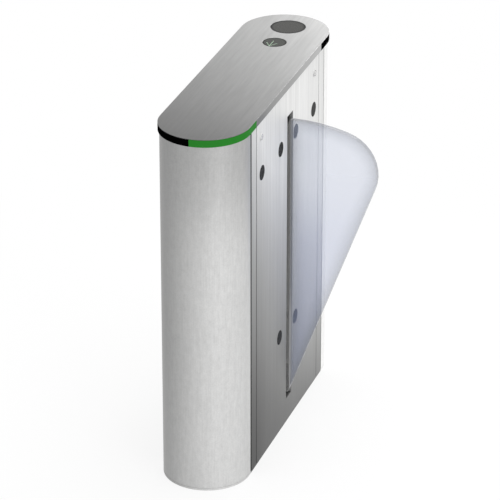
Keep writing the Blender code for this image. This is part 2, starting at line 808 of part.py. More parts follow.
def make_lock_cam(name, along):
    """The cam points up while the lid is free. Its spindle end shows behind it."""
    half = LOCK_CAM_WIDTH / 2
    lower = arc((along, LOCK_HEIGHT), half, -math.pi, 0.0, ARC_STEPS)
    tip = LOCK_HEIGHT + LOCK_CAM_REACH
    outline = lower + [(along + half, tip), (along - half, tip)]
    cam = flat_piece(name, [outline], "YZ", LOCK_CAM_FAR - LOCK_CAM_THICKNESS, LOCK_CAM_FAR)
    nut_start = LOCK_CAM_FAR - 2 * LOCK_CAM_THICKNESS
    middle = LOCK_CAM_FAR - LOCK_CAM_THICKNESS / 2
    nut = rod("cam_nut", LOCK_SPINDLE_RADIUS, "X", nut_start, middle, (0, along, LOCK_HEIGHT), 6)
    return join(cam, nut)


def make_hinges():
    """The arm turns on the bracket's pin and reaches round the wall's top edge."""
    for side_name, side in (("near", -1), ("far", 1)):
        start = side * HINGE_ALONG - HINGE_PLATE - FIT_GAP / 2
        bracket_end = start + HINGE_PLATE
        arm_start = bracket_end + FIT_GAP
        arm_end = arm_start + HINGE_PLATE
        bracket = make_hinge_bracket("hinge_bracket_" + side_name, start, bracket_end)
        pin_at = (HINGE_OUT, 0, HINGE_HEIGHT)
        pin_start = bracket_end - HINGE_PLATE / 2
        pin_end = arm_end + HINGE_PIN_RADIUS
        pin = rod("hinge_pin", HINGE_PIN_RADIUS, "Y", pin_start, pin_end, pin_at, SMALL_SIDES)
        paint(join(bracket, pin), PLATED)
        axis = joint_empty("hinge_axis_" + side_name, (HINGE_OUT, arm_start, HINGE_HEIGHT))
        arm = make_hinge_arm("hinge_arm_" + side_name, arm_start, arm_end)
        hang_on(axis, [paint(arm, PLATED)])


def make_hinge_bracket(name, start, end):
    foot = RING_HEIGHT + RING_THICKNESS + FIT_GAP
    inner = -(RING_HALF_WIDTH - HINGE_FOOT)
    round_top = arc((HINGE_OUT, HINGE_HEIGHT), HINGE_BOSS_RADIUS, 0.0, math.pi, ARC_STEPS)
    outline = [(-RING_HALF_WIDTH, foot), (inner, foot)] + round_top
    return flat_piece(name, [outline], "XZ", start, end)


def make_hinge_arm(name, start, end):
    boss = HINGE_BOSS_RADIUS
    low = HINGE_HEIGHT - boss
    reach = HINGE_OUT + HINGE_ARM_REACH
    top = LID_UNDERSIDE - FIT_GAP
    outline = arc((HINGE_OUT, HINGE_HEIGHT), boss, math.pi / 2, 3 * math.pi / 2, ARC_STEPS)
    outline += [(reach, low), (reach, top), (reach - HINGE_ARM_WIDTH, top)]
    outline += [(reach - HINGE_ARM_WIDTH, HINGE_HEIGHT + boss)]
    bore = circle((HINGE_OUT, HINGE_HEIGHT), HINGE_PIN_RADIUS + FIT_GAP, SMALL_SIDES)
    return flat_piece(name, [outline, bore], "XZ", start, end)


# Beam sensors

def make_beam_sensors():
    for name, along, height in lens_places():
        place = Matrix.Translation((0, along, height)) @ AXIS_TURNS["X"]
        front = HALF_BODY + LENS_PROUD
        seat = WALL_INSIDE - FIT_GAP
        back = seat - LENS_FLANGE_THICKNESS
        profile = [
            (0.0, front),
            (LENS_RADIUS, front),
            (LENS_RADIUS, seat),
            (LENS_RADIUS + LENS_FLANGE, seat),
            (LENS_RADIUS + LENS_FLANGE, back),
            (0.0, back),
        ]
        paint(turned("lens_" + name, profile, place), SMOKED)
        paint(make_beam_sensor("beam_sensor_" + name, back - FIT_GAP, place), BLACK_PLASTIC)


def make_beam_sensor(name, front, place):
    """A threaded barrel sensor with its nut up against the lens."""
    nut_back = front - SENSOR_NUT_LENGTH
    profile = [
        (0.0, front),
        (SENSOR_NUT_RADIUS, front),
        (SENSOR_NUT_RADIUS, nut_back),
        (SENSOR_RADIUS, nut_back),
        (SENSOR_RADIUS, front - SENSOR_LENGTH),
        (0.0, front - SENSOR_LENGTH),
    ]
    return turned(name, profile, place, SMALL_SIDES)


# Wing and what swings with it

def wing_outline():
    """The wing's outline from its pivot: a leaning edge, a round tip and a slow top arc."""
    lean = Vector((math.sin(WING_EDGE_LEAN), math.cos(WING_EDGE_LEAN)))
    inward = Vector((-lean.y, lean.x))
    edge_start = Vector((WING_EDGE_OUT, 0.0))
    top_centre = Vector((WING_TOP_CENTRE_OUT, WING_TOP - WING_TOP_RADIUS))
    offset = edge_start + inward * WING_TIP_RADIUS - top_centre
    span = WING_TOP_RADIUS - WING_TIP_RADIUS
    along = offset.dot(lean)
    run = -along + math.sqrt(along * along - offset.length_squared + span * span)
    tip_centre = edge_start + lean * run + inward * WING_TIP_RADIUS
    edge_turn = math.atan2(-inward.y, -inward.x)
    meet = tip_centre - top_centre
    meet_turn = math.atan2(meet.y, meet.x)
    tip = arc(tip_centre, WING_TIP_RADIUS, edge_turn, meet_turn, ARC_STEPS)
    end_turn = math.acos((WING_INNER_OUT - WING_TOP_CENTRE_OUT) / WING_TOP_RADIUS)
    top = arc(top_centre, WING_TOP_RADIUS, meet_turn, end_turn, ARC_STEPS)[1:]
    low = edge_start - lean * (WING_EDGE_DROP / lean.y)
    inner = [(inner_edge(WING_KNEE), WING_KNEE), (-WING_FOOT_IN, WING_FOOT_HEIGHT)]
    return [tuple(low)] + tip + top + inner


def inner_edge(up):
    """How far out the wing's inner edge lies at a height above the pivot."""
    return WING_INNER_OUT - (WING_INNER_TOP - up) * math.tan(WING_SWING)


def bolt_places():
    places = []
    for index in range(BOLT_COUNT):
        up = BOLT_LOW + index * BOLT_STEP
        places.append((arm_left(up) + CLAMP_WIDTH / 2, up))
    return places


def arm_left(up):
    """The arm's inner side: straight up from the hub, then along the wing's inner edge."""
    straight = -WING_FOOT_IN + ARM_INSET
    return max(straight, inner_edge(up) + ARM_INSET)


def make_wing():
    loops = [from_pivot(wing_outline())]
    for out, up in bolt_places():
        loops.append(from_pivot(circle((out, up), BOLT_RADIUS + FIT_GAP, SMALL_SIDES)))
    return paint(flat_piece("wing", loops, "XZ", WING_NEAR, WING_FAR), FROSTED)


def make_swing_arm():
    root = ARM_ROOT_RADIUS
    knee = WING_KNEE
    around = arc((0, 0), root, math.pi, math.tau, 2 * ARC_STEPS)
    right = [(arm_left(knee) + ARM_TOP_WIDTH + ARM_INSET, knee)]
    top = [(arm_left(ARM_TOP) + ARM_TOP_WIDTH, ARM_TOP), (arm_left(ARM_TOP), ARM_TOP)]
    left = [(arm_left(knee), knee)]
    loops = [from_pivot(around + right + top + left)]
    for out, up in bolt_places():
        loops.append(from_pivot(circle((out, up), BOLT_RADIUS + FIT_GAP, SMALL_SIDES)))
    arm = flat_piece("swing_arm", loops, "XZ", ARM_NEAR, ARM_FAR)
    at = (0, 0, PIVOT_HEIGHT)
    join(arm, rod("arm_hub", HUB_RADIUS, "Y", HUB_NEAR, CLAMP_FAR, at))
    bore = SHAFT_RADIUS + FIT_GAP
    cut(arm, rod("hub_bore", bore, "Y", HUB_NEAR - CUT_OVERRUN, CLAMP_FAR + CUT_OVERRUN, at))
    return paint(arm, ALUMINIUM)


def make_clamp_plate():
    heights = (CLAMP_BOTTOM, WING_KNEE, ARM_TOP)
    left = [(arm_left(up), up) for up in heights]
    right = [(arm_left(up) + CLAMP_WIDTH, up) for up in heights]
    loops = [from_pivot(right + left[::-1])]
    for out, up in bolt_places():
        loops.append(from_pivot(circle((out, up), BOLT_RADIUS + FIT_GAP, SMALL_SIDES)))
    return paint(flat_piece("clamp_plate", loops, "XZ", CLAMP_NEAR, CLAMP_FAR), ALUMINIUM)


def make_clamp_bolts():
    bolts = []
    for index, (out, up) in enumerate(bolt_places()):
        at = (out, 0, PIVOT_HEIGHT + up)
        head_start = CLAMP_FAR + FIT_GAP
        head_end = head_start + BOLT_HEAD_LENGTH
        name = "clamp_bolt_" + str(index + 1)
        bolt = rod(name, BOLT_HEAD_RADIUS, "Y", head_start, head_end, at, 6)
        shank_end = head_start + BOLT_HEAD_LENGTH / 2
        join(bolt, rod("bolt_shank", BOLT_RADIUS, "Y", ARM_NEAR, shank_end, at, SMALL_SIDES))
        bolts.append(paint(bolt, PLATED))
    return bolts


def sector_outline():
    """Hub, flanks and teeth, measured from the pivot with the wing out."""
    hub = HUB_RADIUS + FIT_GAP + SECTOR_HUB_WALL
    right = SECTOR_MIDDLE - SECTOR_HALF_SPREAD
    left = SECTOR_MIDDLE + SECTOR_HALF_SPREAD
    root = SECTOR_RADIUS - GEAR_MODULE * DEDENDUM_SHARE
    outline = [polar(SECTOR_FLANK_START, right), polar(root, right)]
    for index in range(SECTOR_TOOTH_COUNT):
        step = SECTOR_FIRST_TOOTH + index + 1 / 2
        outline += tooth(SECTOR_TEETH, STRAIGHT_UP + step * TOOTH_STEP)
    outline += [polar(root, left), polar(SECTOR_FLANK_START, left)]
    hub_start = SECTOR_MIDDLE + math.pi / 2
    return outline + arc((0, 0), hub, hub_start, hub_start + math.pi, ARC_STEPS * 2)


def make_toothed_sector():
    loops = [from_pivot(sector_outline())]
    loops.append(from_pivot(circle((0, 0), HUB_RADIUS + FIT_GAP)))
    for step in (-1, 0, 1):
        turn = SECTOR_MIDDLE + step * SECTOR_HALF_SPREAD / 2
        hole = polar(SECTOR_HOLE_RING, turn)
        loops.append(from_pivot(circle(hole, SECTOR_HOLE_RADIUS, SMALL_SIDES)))
    return paint(flat_piece("toothed_sector", loops, "XZ", SECTOR_NEAR, SECTOR_FAR), GEAR_STEEL)


def make_swinging_pieces():
    shaft = rod("pivot_shaft", SHAFT_RADIUS, "Y", SHAFT_NEAR, SHAFT_FAR, (0, 0, PIVOT_HEIGHT))
    pieces = [make_wing(), make_swing_arm(), make_clamp_plate(), make_toothed_sector()]
    pieces += [paint(shaft, PLATED)] + make_clamp_bolts()
    hang_on(joint_empty("wing_axis", (0, 0, PIVOT_HEIGHT)), pieces)


# Drive

def make_drive_frame():
    near_start = FRAME_NEAR - FRAME_PLATE
    far_end = FRAME_FAR + FRAME_PLATE
    foot_top = WALL_BOTTOM + FRAME_FOOT
    foot_low = (-FRAME_HALF_WIDTH, near_start - FRAME_FOOT_MARGIN, WALL_BOTTOM)
    foot_high = (FRAME_HALF_WIDTH, far_end + FRAME_FOOT_MARGIN, foot_top)
    frame = box("drive_frame", foot_low, foot_high)
    root = WALL_BOTTOM + FRAME_FOOT / 2
    bore = circle((0, PIVOT_HEIGHT), SHAFT_RADIUS + SHAFT_HOLE_SPARE)
    boss_hole = circle((0, PINION_HEIGHT), GEARBOX_BOSS_RADIUS + FIT_GAP)
    near_loops = [frame_outline(root, FRAME_NEAR_TOP), bore, boss_hole]
    for side in (-1, 1):
        near_loops.append(circle(probe_place(side), PROBE_RADIUS + FIT_GAP, SMALL_SIDES))
    join(frame, flat_piece("near_plate", near_loops, "XZ", near_start, FRAME_NEAR))
    far_loops = [frame_outline(root, FRAME_FAR_TOP), bore]
    join(frame, flat_piece("far_plate", far_loops, "XZ", FRAME_FAR, far_end))
    for side in (-1, 1):
        join(frame, make_stop_tab(side))
    return paint(frame, BLACK_STEEL)


def frame_outline(bottom, top):
    """A side plate with sloping shoulders, and a narrow neck where it rises above them."""
    wide = FRAME_HALF_WIDTH
    narrow = FRAME_TOP_HALF_WIDTH
    bend = FRAME_FAR_TOP - (wide - narrow)
    right = [(wide, bottom), (wide, bend), (narrow, FRAME_FAR_TOP), (narrow, top)]
    left = [(-across, up) for across, up in reversed(right)]
    if top == FRAME_FAR_TOP:
        right.pop()
        left.pop(0)
    return right + left


def stop_place(side, distance):
    """Where a stop lies along the sector flank's normal, at this distance off the flank."""
    turn = STRAIGHT_UP - side * STOP_TURN
    out, up = polar(STOP_RING, turn)
    normal = (side * math.sin(turn), -side * math.cos(turn))
    return out + normal[0] * distance, up + PIVOT_HEIGHT + normal[1] * distance


def stop_turn(side):
    """Turns a piece that runs along +X so that it runs along the sector flank's normal."""
    return Matrix.Rotation(side * STOP_TURN, 4, "Y")


def make_stop_tab(side):
    middle = FIT_GAP + STOP_LENGTH + FIT_GAP + STOP_TAB_THICKNESS / 2
    out, up = stop_place(side, middle)
    start = FRAME_NEAR - FRAME_PLATE / 2
    end = SECTOR_FAR - STOP_RADIUS / 2
    size = (STOP_TAB_THICKNESS, end - start, STOP_TAB_WIDTH, 1.0)
    shape = bmesh.new()
    place = Matrix.Translation((out, (start + end) / 2, up))
    tab_turn = stop_turn(side)
    bmesh.ops.create_cube(shape, size=1.0, matrix=place @ tab_turn @ Matrix.Diagonal(size))
    return place_mesh("stop_tab", shape)


def make_stop_buffers():
    for name, side in (("stop_buffer_closed", 1), ("stop_buffer_open", -1)):
        out, up = stop_place(side, FIT_GAP + STOP_LENGTH / 2)
        along = (SECTOR_NEAR + SECTOR_FAR) / 2
        place = Matrix.Translation((out, along, up)) @ stop_turn(side) @ AXIS_TURNS["X"]
        shape = bmesh.new()
        bmesh.ops.create_cone(
            shape, cap_ends=True, segments=SMALL_SIDES, radius1=STOP_RADIUS, radius2=STOP_RADIUS,
            depth=STOP_LENGTH, matrix=place,
        )
        buffer = place_mesh(name, shape)
        smooth_round(buffer)
        paint(buffer, RUBBER)


def make_bearings():
    bore = SHAFT_RADIUS + FIT_GAP
    reach = BEARING_FLANGE + BEARING_BOSS
    profile = [
        (bore, reach),
        (BEARING_BOSS_RADIUS, reach),
        (BEARING_BOSS_RADIUS, BEARING_FLANGE),
        (BEARING_FLANGE_RADIUS, BEARING_FLANGE),
        (BEARING_FLANGE_RADIUS, 0.0),
        (bore, 0.0),
    ]
    far = FRAME_FAR + FRAME_PLATE + FIT_GAP
    far_place = Matrix.Translation((0, far, PIVOT_HEIGHT)) @ AXIS_TURNS["Y"]
    near = FRAME_NEAR - FRAME_PLATE - FIT_GAP
    half_turn = Matrix.Rotation(math.pi, 4, "Z")
    near_place = Matrix.Translation((0, near, PIVOT_HEIGHT)) @ half_turn @ AXIS_TURNS["Y"]
    paint(turned("far_bearing", profile, far_place), PAINTED)
    paint(turned("near_bearing", profile, near_place), PAINTED)


def make_pinion():
    outline = []
    for index in range(PINION_TEETH):
        outline += tooth(PINION_TEETH, -STRAIGHT_UP + index * math.tau / PINION_TEETH)
    outline = [(out, up + PINION_HEIGHT) for out, up in outline]
    start = SECTOR_NEAR - PINION_SHIFT
    end = SECTOR_FAR - PINION_SHIFT
    pinion = flat_piece("drive_pinion", [outline], "XZ", start, end)
    at = (0, 0, PINION_HEIGHT)
    shaft_start = GEARBOX_FAR - PINION_SHAFT_SEAT + FIT_GAP
    shaft_end = (start + end) / 2
    shaft = rod("pinion_shaft", PINION_SHAFT_RADIUS, "Y", shaft_start, shaft_end, at, SMALL_SIDES)
    join(pinion, shaft)
    hang_on(joint_empty("pinion_axis", at), [paint(pinion, GEAR_STEEL)])


def make_gearbox():
    half = GEARBOX_WIDTH / 2
    low = (-half, GEARBOX_NEAR, PINION_HEIGHT - GEARBOX_HEIGHT / 2)
    gearbox = box("gearbox", low, (half, GEARBOX_FAR, GEARBOX_TOP))
    round_edges(gearbox, GEARBOX_CORNER)
    at = (0, 0, PINION_HEIGHT)
    boss_end = GEARBOX_FAR + GEARBOX_BOSS_LENGTH
    boss_start = GEARBOX_FAR - GEARBOX_CORNER
    join(gearbox, rod("gearbox_boss", GEARBOX_BOSS_RADIUS, "Y", boss_start, boss_end, at))
    bore = PINION_SHAFT_RADIUS + FIT_GAP
    bore_start = GEARBOX_FAR - PINION_SHAFT_SEAT
    bore_end = boss_end + CUT_OVERRUN
    cut(gearbox, rod("output_bore", bore, "Y", bore_start, bore_end, at, SMALL_SIDES))
    return paint(gearbox, PAINTED)


def make_motor():
    bottom = GEARBOX_TOP + FIT_GAP
    top = bottom + MOTOR_LENGTH
    profile = [
        (0.0, top),
        (MOTOR_WAIST_RADIUS, top),
        (MOTOR_WAIST_RADIUS, top - MOTOR_CAP),
        (MOTOR_RADIUS, top - MOTOR_CAP),
        (MOTOR_RADIUS, bottom + MOTOR_FLANGE),
        (MOTOR_WAIST_RADIUS, bottom + MOTOR_FLANGE),
        (MOTOR_WAIST_RADIUS, bottom),
        (0.0, bottom),
    ]
    return paint(turned("motor", profile, Matrix.Translation((0, MOTOR_ALONG, 0))), BLACK_STEEL)


def probe_place(side):
    """The probes look at the sector's web, one near each end of its swing."""
    turn = STRAIGHT_UP - side * (STOP_TURN - SECTOR_HALF_SPREAD / 2)
    out, up = polar(PROBE_RING, turn)
    return out, up + PIVOT_HEIGHT


def make_position_sensors():
    """Barrel probes through the near plate, each held by its nut outside the plate."""
    for name, side in (("position_sensor_closed", 1), ("position_sensor_open", -1)):
        out, up = probe_place(side)
        face = SECTOR_NEAR - PROBE_FACE_GAP
        nut_end = FRAME_NEAR - FRAME_PLATE - FIT_GAP
        profile = [
            (0.0, face),
            (PROBE_RADIUS, face),
            (PROBE_RADIUS, nut_end),
            (PROBE_NUT_RADIUS, nut_end),
            (PROBE_NUT_RADIUS, nut_end - PROBE_NUT),
            (PROBE_RADIUS, nut_end - PROBE_NUT),
            (PROBE_RADIUS, face - PROBE_LENGTH),
            (0.0, face - PROBE_LENGTH),
        ]
        place = Matrix.Translation((out, 0, up)) @ AXIS_TURNS["Y"]
        paint(turned(name, profile, place, SMALL_SIDES), PLATED)


# Electronics

def make_electronics():
    inner = TRAY_OUT + TRAY_THICKNESS
    top = RING_HEIGHT - FIT_GAP
    outline = [
        (TRAY_OUT, WALL_BOTTOM),
        (TRAY_OUT + TRAY_FOOT, WALL_BOTTOM),
        (TRAY_OUT + TRAY_FOOT, WALL_BOTTOM + TRAY_THICKNESS),
        (inner, WALL_BOTTOM + TRAY_THICKNESS),
        (inner, top),
        (TRAY_OUT, top),
    ]
    paint(flat_piece("electronics_plate", [outline], "XZ", TRAY_NEAR, TRAY_FAR), PLATED)
    middle = (TRAY_NEAR + TRAY_FAR) / 2
    seat = inner + FIT_GAP
    units = (
        ("controller_box", CONTROLLER_LENGTH, CONTROLLER_BOTTOM, CONTROLLER_HEIGHT, CONTROLLER_DEPTH),
        ("power_supply", SUPPLY_LENGTH, SUPPLY_BOTTOM, SUPPLY_HEIGHT, SUPPLY_DEPTH),
    )
    for name, length, bottom, height, depth in units:
        low = (seat, middle - length / 2, bottom)
        high = (seat + depth, middle + length / 2, bottom + height)
        unit = round_edges(box(name, low, high), BOX_CORNER)
        paint(unit, BLACK_PLASTIC if name == "controller_box" else PLATED)


def make_all():
    make_base_plate()
    make_columns()
    make_corner_posts()
    make_top_ring()
    make_flap_side_panel()
    make_service_panel()
    make_lid()
    make_bands()
    make_lid_fittings()
    make_locks()
    make_hinges()
    make_beam_sensors()
    make_swinging_pieces()
    make_drive_frame()
    make_stop_buffers()
    make_bearings()
    make_pinion()
    make_gearbox()
    make_motor()
    make_position_sensors()
    make_electronics()


make_all()
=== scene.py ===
import json
import math

import bmesh
import bpy
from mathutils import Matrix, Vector

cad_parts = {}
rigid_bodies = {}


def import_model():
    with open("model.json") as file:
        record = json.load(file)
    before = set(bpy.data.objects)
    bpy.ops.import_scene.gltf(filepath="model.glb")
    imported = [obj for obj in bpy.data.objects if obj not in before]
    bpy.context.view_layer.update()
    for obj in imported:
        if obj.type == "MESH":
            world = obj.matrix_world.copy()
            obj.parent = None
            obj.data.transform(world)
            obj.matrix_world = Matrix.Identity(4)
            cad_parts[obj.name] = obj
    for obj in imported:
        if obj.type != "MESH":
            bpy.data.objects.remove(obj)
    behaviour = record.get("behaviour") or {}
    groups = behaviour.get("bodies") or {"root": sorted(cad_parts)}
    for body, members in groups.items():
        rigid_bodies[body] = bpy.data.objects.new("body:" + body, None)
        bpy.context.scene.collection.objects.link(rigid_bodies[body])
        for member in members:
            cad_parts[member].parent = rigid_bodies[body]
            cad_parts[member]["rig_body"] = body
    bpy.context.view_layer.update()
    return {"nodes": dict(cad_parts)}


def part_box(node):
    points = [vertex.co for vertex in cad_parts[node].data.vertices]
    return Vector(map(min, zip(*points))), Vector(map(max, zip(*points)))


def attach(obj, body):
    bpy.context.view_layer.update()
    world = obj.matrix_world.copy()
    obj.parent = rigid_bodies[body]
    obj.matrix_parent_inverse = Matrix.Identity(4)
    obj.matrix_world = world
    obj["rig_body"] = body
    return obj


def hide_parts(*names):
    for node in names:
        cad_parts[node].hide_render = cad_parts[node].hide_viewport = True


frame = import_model()

# Camera, at the photograph's angle
CAMERA_PLACE = (2.48165, -7.30133, 4.21272)
CAMERA_TARGET = (-0.0317, 0.1246, 0.4332)
CAMERA_LENS = 231.86
CAMERA_SENSOR = 36.0
CAMERA_NEAR = 0.1
CAMERA_FAR = 100.0

# Floor and light
WHITE = (1.0, 1.0, 1.0, 1.0)
FLOOR_HALF = 30.0
FLOOR_DROP = 0.0004
FLOOR_TONE = (0.90, 0.90, 0.90, 1.0)
FLOOR_LIFT_REACH = (0.55, 1.6)
FLOOR_LIFT_SHARES = (0.8, 1.0)
WORLD_STRENGTH = 0.55
# Each lamp's name, place, target, width, height and watts
LAMPS = [
    ("overhead", (0.2, 0.1, 4.5), (0.0, 0.0, 0.0), 4.0, 4.0, 118.0),
    ("far_side", (0.3, 2.6, 2.3), (0.0, 0.3, 0.9), 1.2, 1.2, 22.0),
    ("front_side", (2.4, -2.2, 1.5), (0.0, -0.3, 0.5), 1.6, 1.6, 26.0),
]

# How CAD copies are merged, and the roundness of their edges
MERGE_DISTANCE = 0.00002
FLAT_TURN = math.radians(0.4)
SMOOTH_TURN = math.radians(32.0)
EDGE_TURN = math.radians(34.0)
EDGE_STEPS = 2
WING_EDGE_STEPS = 4
SHEET_EDGE = 0.00035
LID_EDGE = 0.0006
WING_EDGE = 0.0022
LENS_EDGE = 0.0005
BLOCK_EDGE = 0.0009
FINE_EDGE = 0.00015
WINDOW_SINK = 0.00025
SUNK_WINDOWS = ("reader_window", "indicator_window")

# Sides of a round fin, lock plug or ring
ROUND_SIDES = 48

# Soft shade and reflection painted into the steel's colour: the lid along Y and across X, a long
# side up Z and along Y, and an end column by its turn from -X round the end to +X. The base's
# edge goes over from the long sides to the columns at BASE_END_REACH.
LID_REACH = 0.42
LID_LEVELS = (0.145, 0.475)
LID_ACROSS = 0.12
LID_ACROSS_LEVELS = (0.90, 1.10)
LID_RIM_HEIGHTS = (0.994, 0.9985)
LID_RIM_LEVELS = (0.80, 1.12)
SIDE_REACH = 0.30
SIDE_FOOT_LEVELS = (0.130, 0.275)
SIDE_CORNER_REACH = (-0.29, -0.15)
SIDE_CORNER_DROP = 0.04
SIDE_RISE_REACH = (-0.36, -0.08)
SIDE_RISE_LEVELS = (0.66, 0.92)
SIDE_CURVE_REACH = 0.20
SIDE_CURVES = (1.64, 0.94)
SIDE_MOST = 0.82
BASE_END_REACH = (0.300, 0.307)
END_CENTRE = 0.319
COLUMN_DIP_HEIGHTS = (0.05, 0.45)
COLUMN_DIPS = (0.325, 0.280)
COLUMN_LIGHT = 0.67
COLUMN_TURNS = (math.radians(33.0), math.radians(130.0))
COLUMN_BACK_TURN = math.radians(26.0)
COLUMN_BACK_RISE = 0.20
COLUMN_SIDE_TURN = math.radians(140.0)
COLUMN_SIDE_DROP = 0.06
COLUMN_FAR_REACH = (-0.2, 0.2)
COLUMN_FAR_LIFT = 0.34
COLUMN_FAR_TURNS = (math.radians(112.0), math.radians(160.0))
COLUMN_SHADE_HEIGHTS = (0.62, 0.96)
COLUMN_SHADE_MOST = 0.48
COLUMN_SHADE_TONE = 0.27

# Grain of the finishes. A noise has its scale per metre on each axis, a level or gloss has a
# base and the share of each noise in it, and a relief has its depth and strength.
NOISE_ROUGHNESS = 0.6
STEEL = (1.0, 1.0, 0.993)
LENGTH_GRAIN = (1500.0, 14.0, 1500.0)
LENGTH_STREAKS = (120.0, 6.0, 120.0)
UPRIGHT_GRAIN = (1500.0, 1500.0, 14.0)
UPRIGHT_STREAKS = (70.0, 70.0, 1.8)
STEEL_CLOUDS = (7.0, 5.0, 4.0)
STEEL_LEVEL = (0.73, (0.26, 0.34, -0.06))
STEEL_GLOSS_SHARES = (0.10, 0.07)
STEEL_RELIEF = (0.00004, 0.5)
COLUMN_MOTTLE = (260.0,) * 3
COLUMN_PATCHES = (85.0, 85.0, 50.0)
COLUMN_HAIRS = (300.0, 300.0, 12.0)
COLUMN_LEVEL = (0.67, (0.24, 0.24, 0.18))
COLUMN_GLOSS = (0.33, (0.10, 0.04))
COLUMN_RELIEF_SHARE = 0.5
COLUMN_RELIEF = (0.00005, 0.5)
GLASS_HAZE = (900.0,) * 3
GLASS_LEVEL = (0.92, (0.16,))
GLASS_GLOSS = (0.22, (0.10,))
GLASS_RIM_SHARES = (0.80, 0.97)
IN_PLAN = (1.0, 1.0, 0.0)
PLASTIC_TEXTURE = (1100.0,) * 3
PLASTIC_WEAR = (60.0,) * 3
PLASTIC_LEVEL = (0.85, (0.15, 0.15))
PLASTIC_GLOSS_DROP = 0.05
PLASTIC_GLOSS_SHARES = (0.10,)
PLASTIC_DEPTH = 0.00003
PLASTIC_RELIEF_STRENGTH = 0.4
METAL_MARKS = (900.0,) * 3
METAL_CLOUDS = (40.0,) * 3
METAL_LEVEL = (0.84, (0.14, 0.16))
METAL_GLOSS_DROP = 0.06
METAL_GLOSS_SHARES = (0.08, 0.10)
METAL_RELIEF = (0.00003, 0.5)
PAINT_PEEL = (420.0,) * 3
PAINT_DUST = (25.0,) * 3
PAINT_LEVEL = (0.86, (0.28,))
PAINT_GLOSS = (0.40, (0.16,))
PAINT_RELIEF = (0.00008, 0.5)

# Lit pieces
LIGHT_STRENGTH = 0.35
GREEN_GRAIN = (350.0,) * 3
GREEN_GLOW = (30.0, 30.0, 4.0)
GREEN_LEVEL = (0.92, (0.08, 0.10))
GREEN_TONE = (0.017, 0.150, 0.017)
GREEN_LIGHT = (0.020, 0.155, 0.020)
ARROW_CLOUDS = (400.0,) * 3
ARROW_LEVEL = (0.9, (0.2,))
ARROW_TONE = (0.40, 0.55, 0.40)
ARROW_LIGHT = (0.35, 0.52, 0.35)

# Circuit boards
BOARD_CELLS = 170.0
BOARD_TRACKS_FROM = 0.62
BOARD_MASK = (0.012, 0.085, 0.035, 1.0)
BOARD_TRACK = (0.035, 0.19, 0.08, 1.0)

# The wing's border of painted shade follows its outline, as in the part's source
PIVOT_HEIGHT = 0.090
WING_EDGE_OUT = 0.1164
WING_EDGE_LEAN = math.radians(20.3)
WING_TOP_UP = 0.7893
WING_TOP_RADIUS = 0.500
WING_TOP_CENTRE_OUT = 0.130
WING_TIP_RADIUS = 0.115
WING_BORDER = 0.050
WING_BORDER_FALL = 1.8
WING_LINE = 0.0026
WING_RIM = 0.0014
WING_ROOT = (0.1150, 0.1162)
WING_STRIP = (0.1190, 0.1215)
WING_STRIP_HEIGHTS = (0.28, 0.42)
WING_HEIGHTS = (0.50, 0.78)

# The wing's tones, low and high where there are two. The body is painted darker low down as
# shade, the border and the rim are painted shade, the lower edge's line is a painted highlight,
# and the strip beside the root is a painted reflection of the slot's lip. The veil is how much of
# it is solid: a base and the shares of the cloud, the frost, the border, the rim and the lower
# edge's line.
WING_BODY_TONES = ((0.33, 0.40, 0.65, 1.0), (0.50, 0.56, 0.73, 1.0))
WING_BORDER_SHADE_TONE = (0.238, 0.272, 0.362, 1.0)
WING_RIM_SHADE_TONE = (0.095, 0.105, 0.14, 1.0)
WING_LINE_HIGHLIGHT_TONE = (0.42, 0.44, 0.48, 1.0)
WING_STRIP_REFLECTION_TONE = (0.42, 0.43, 0.46, 1.0)
WING_STRIP_LOW_REFLECTION_TONE = (0.66, 0.66, 0.68, 1.0)
WING_ROOT_TONE = (0.46, 0.46, 0.455, 1.0)
WING_FROST = (700.0,) * 3
WING_CLOUDS = (6.0, 6.0, 5.0)
WING_VEIL = (0.218, (0.02, 0.015, 0.12, 0.04, 0.05))
WING_STRIP_VEIL = (0.20, (0.12,))
WING_ROOT_VEIL = 0.01

# The lid's windows and the arrow of small lights
INDICATOR_ALONG = 0.234
READER_ALONG = 0.350
INDICATOR_RADIUS = 0.032
READER_RADIUS = 0.0475
ARROW_TIP = (-0.0054, -0.0292)
ARROW_SHAFT = 0.038
ARROW_BARB = (0.0140, 0.0225)
ARROW_DOT_STEP = 0.0027
ARROW_DOT_RADIUS = 0.0009
ARROW_DOT_HEIGHT = 0.00025
ARROW_DOT_SIDES = 10

# The slot for the wing, in the flap side panel
SLOT_NEAR = -0.010
SLOT_FAR = 0.038
SLOT_LOW = 0.0705
SLOT_HIGH = 0.8995

# Lock faces
LOCK_PLUG_RADIUS = 0.0062
LOCK_PLUG_PROUD = 0.0004
KEY_SLOT_LENGTH = 0.0062
KEY_SLOT_WIDTH = 0.0013
KEY_SLOT_PROUD = 0.00012
KEY_SLOT_SIDES = 18
LOCK_RING_RADIUS = 0.0074
LOCK_RING_THICKNESS = 0.0009
LOCK_RING_SIDES = 8

# Screws
PANEL_SCREW_RADIUS = 0.0042
PANEL_SCREW_HEIGHT = 0.0016
PANEL_SCREW_COUNT = 5
PANEL_SCREW_IN = 0.012
PANEL_SCREW_MARGIN = 0.060
FLANGE_SCREW_RADIUS = 0.0036
FLANGE_SCREW_HEIGHT = 0.0036
FLANGE_SCREW_COUNT = 4
FLANGE_SCREW_RING = 0.025
SCREW_SIDES = 18
SOCKET_SHARE = 0.5
CHAMFER_SHARE = 0.82
HEAD_BODY_SHARE = 0.7

# Dark strips in the seams of the columns and of the panels: a painted shadow of each seam's gap, wider at the
# near column than at the far one
SEAM_SHADOW_WIDTHS = {"near": 0.0085, "far": 0.0012}
PANEL_SEAM_SHADOW_WIDTH = 0.0009
SEAM_SHADOW_PROUD = 0.00025
SEAM_SHADOW_SIDES = 8

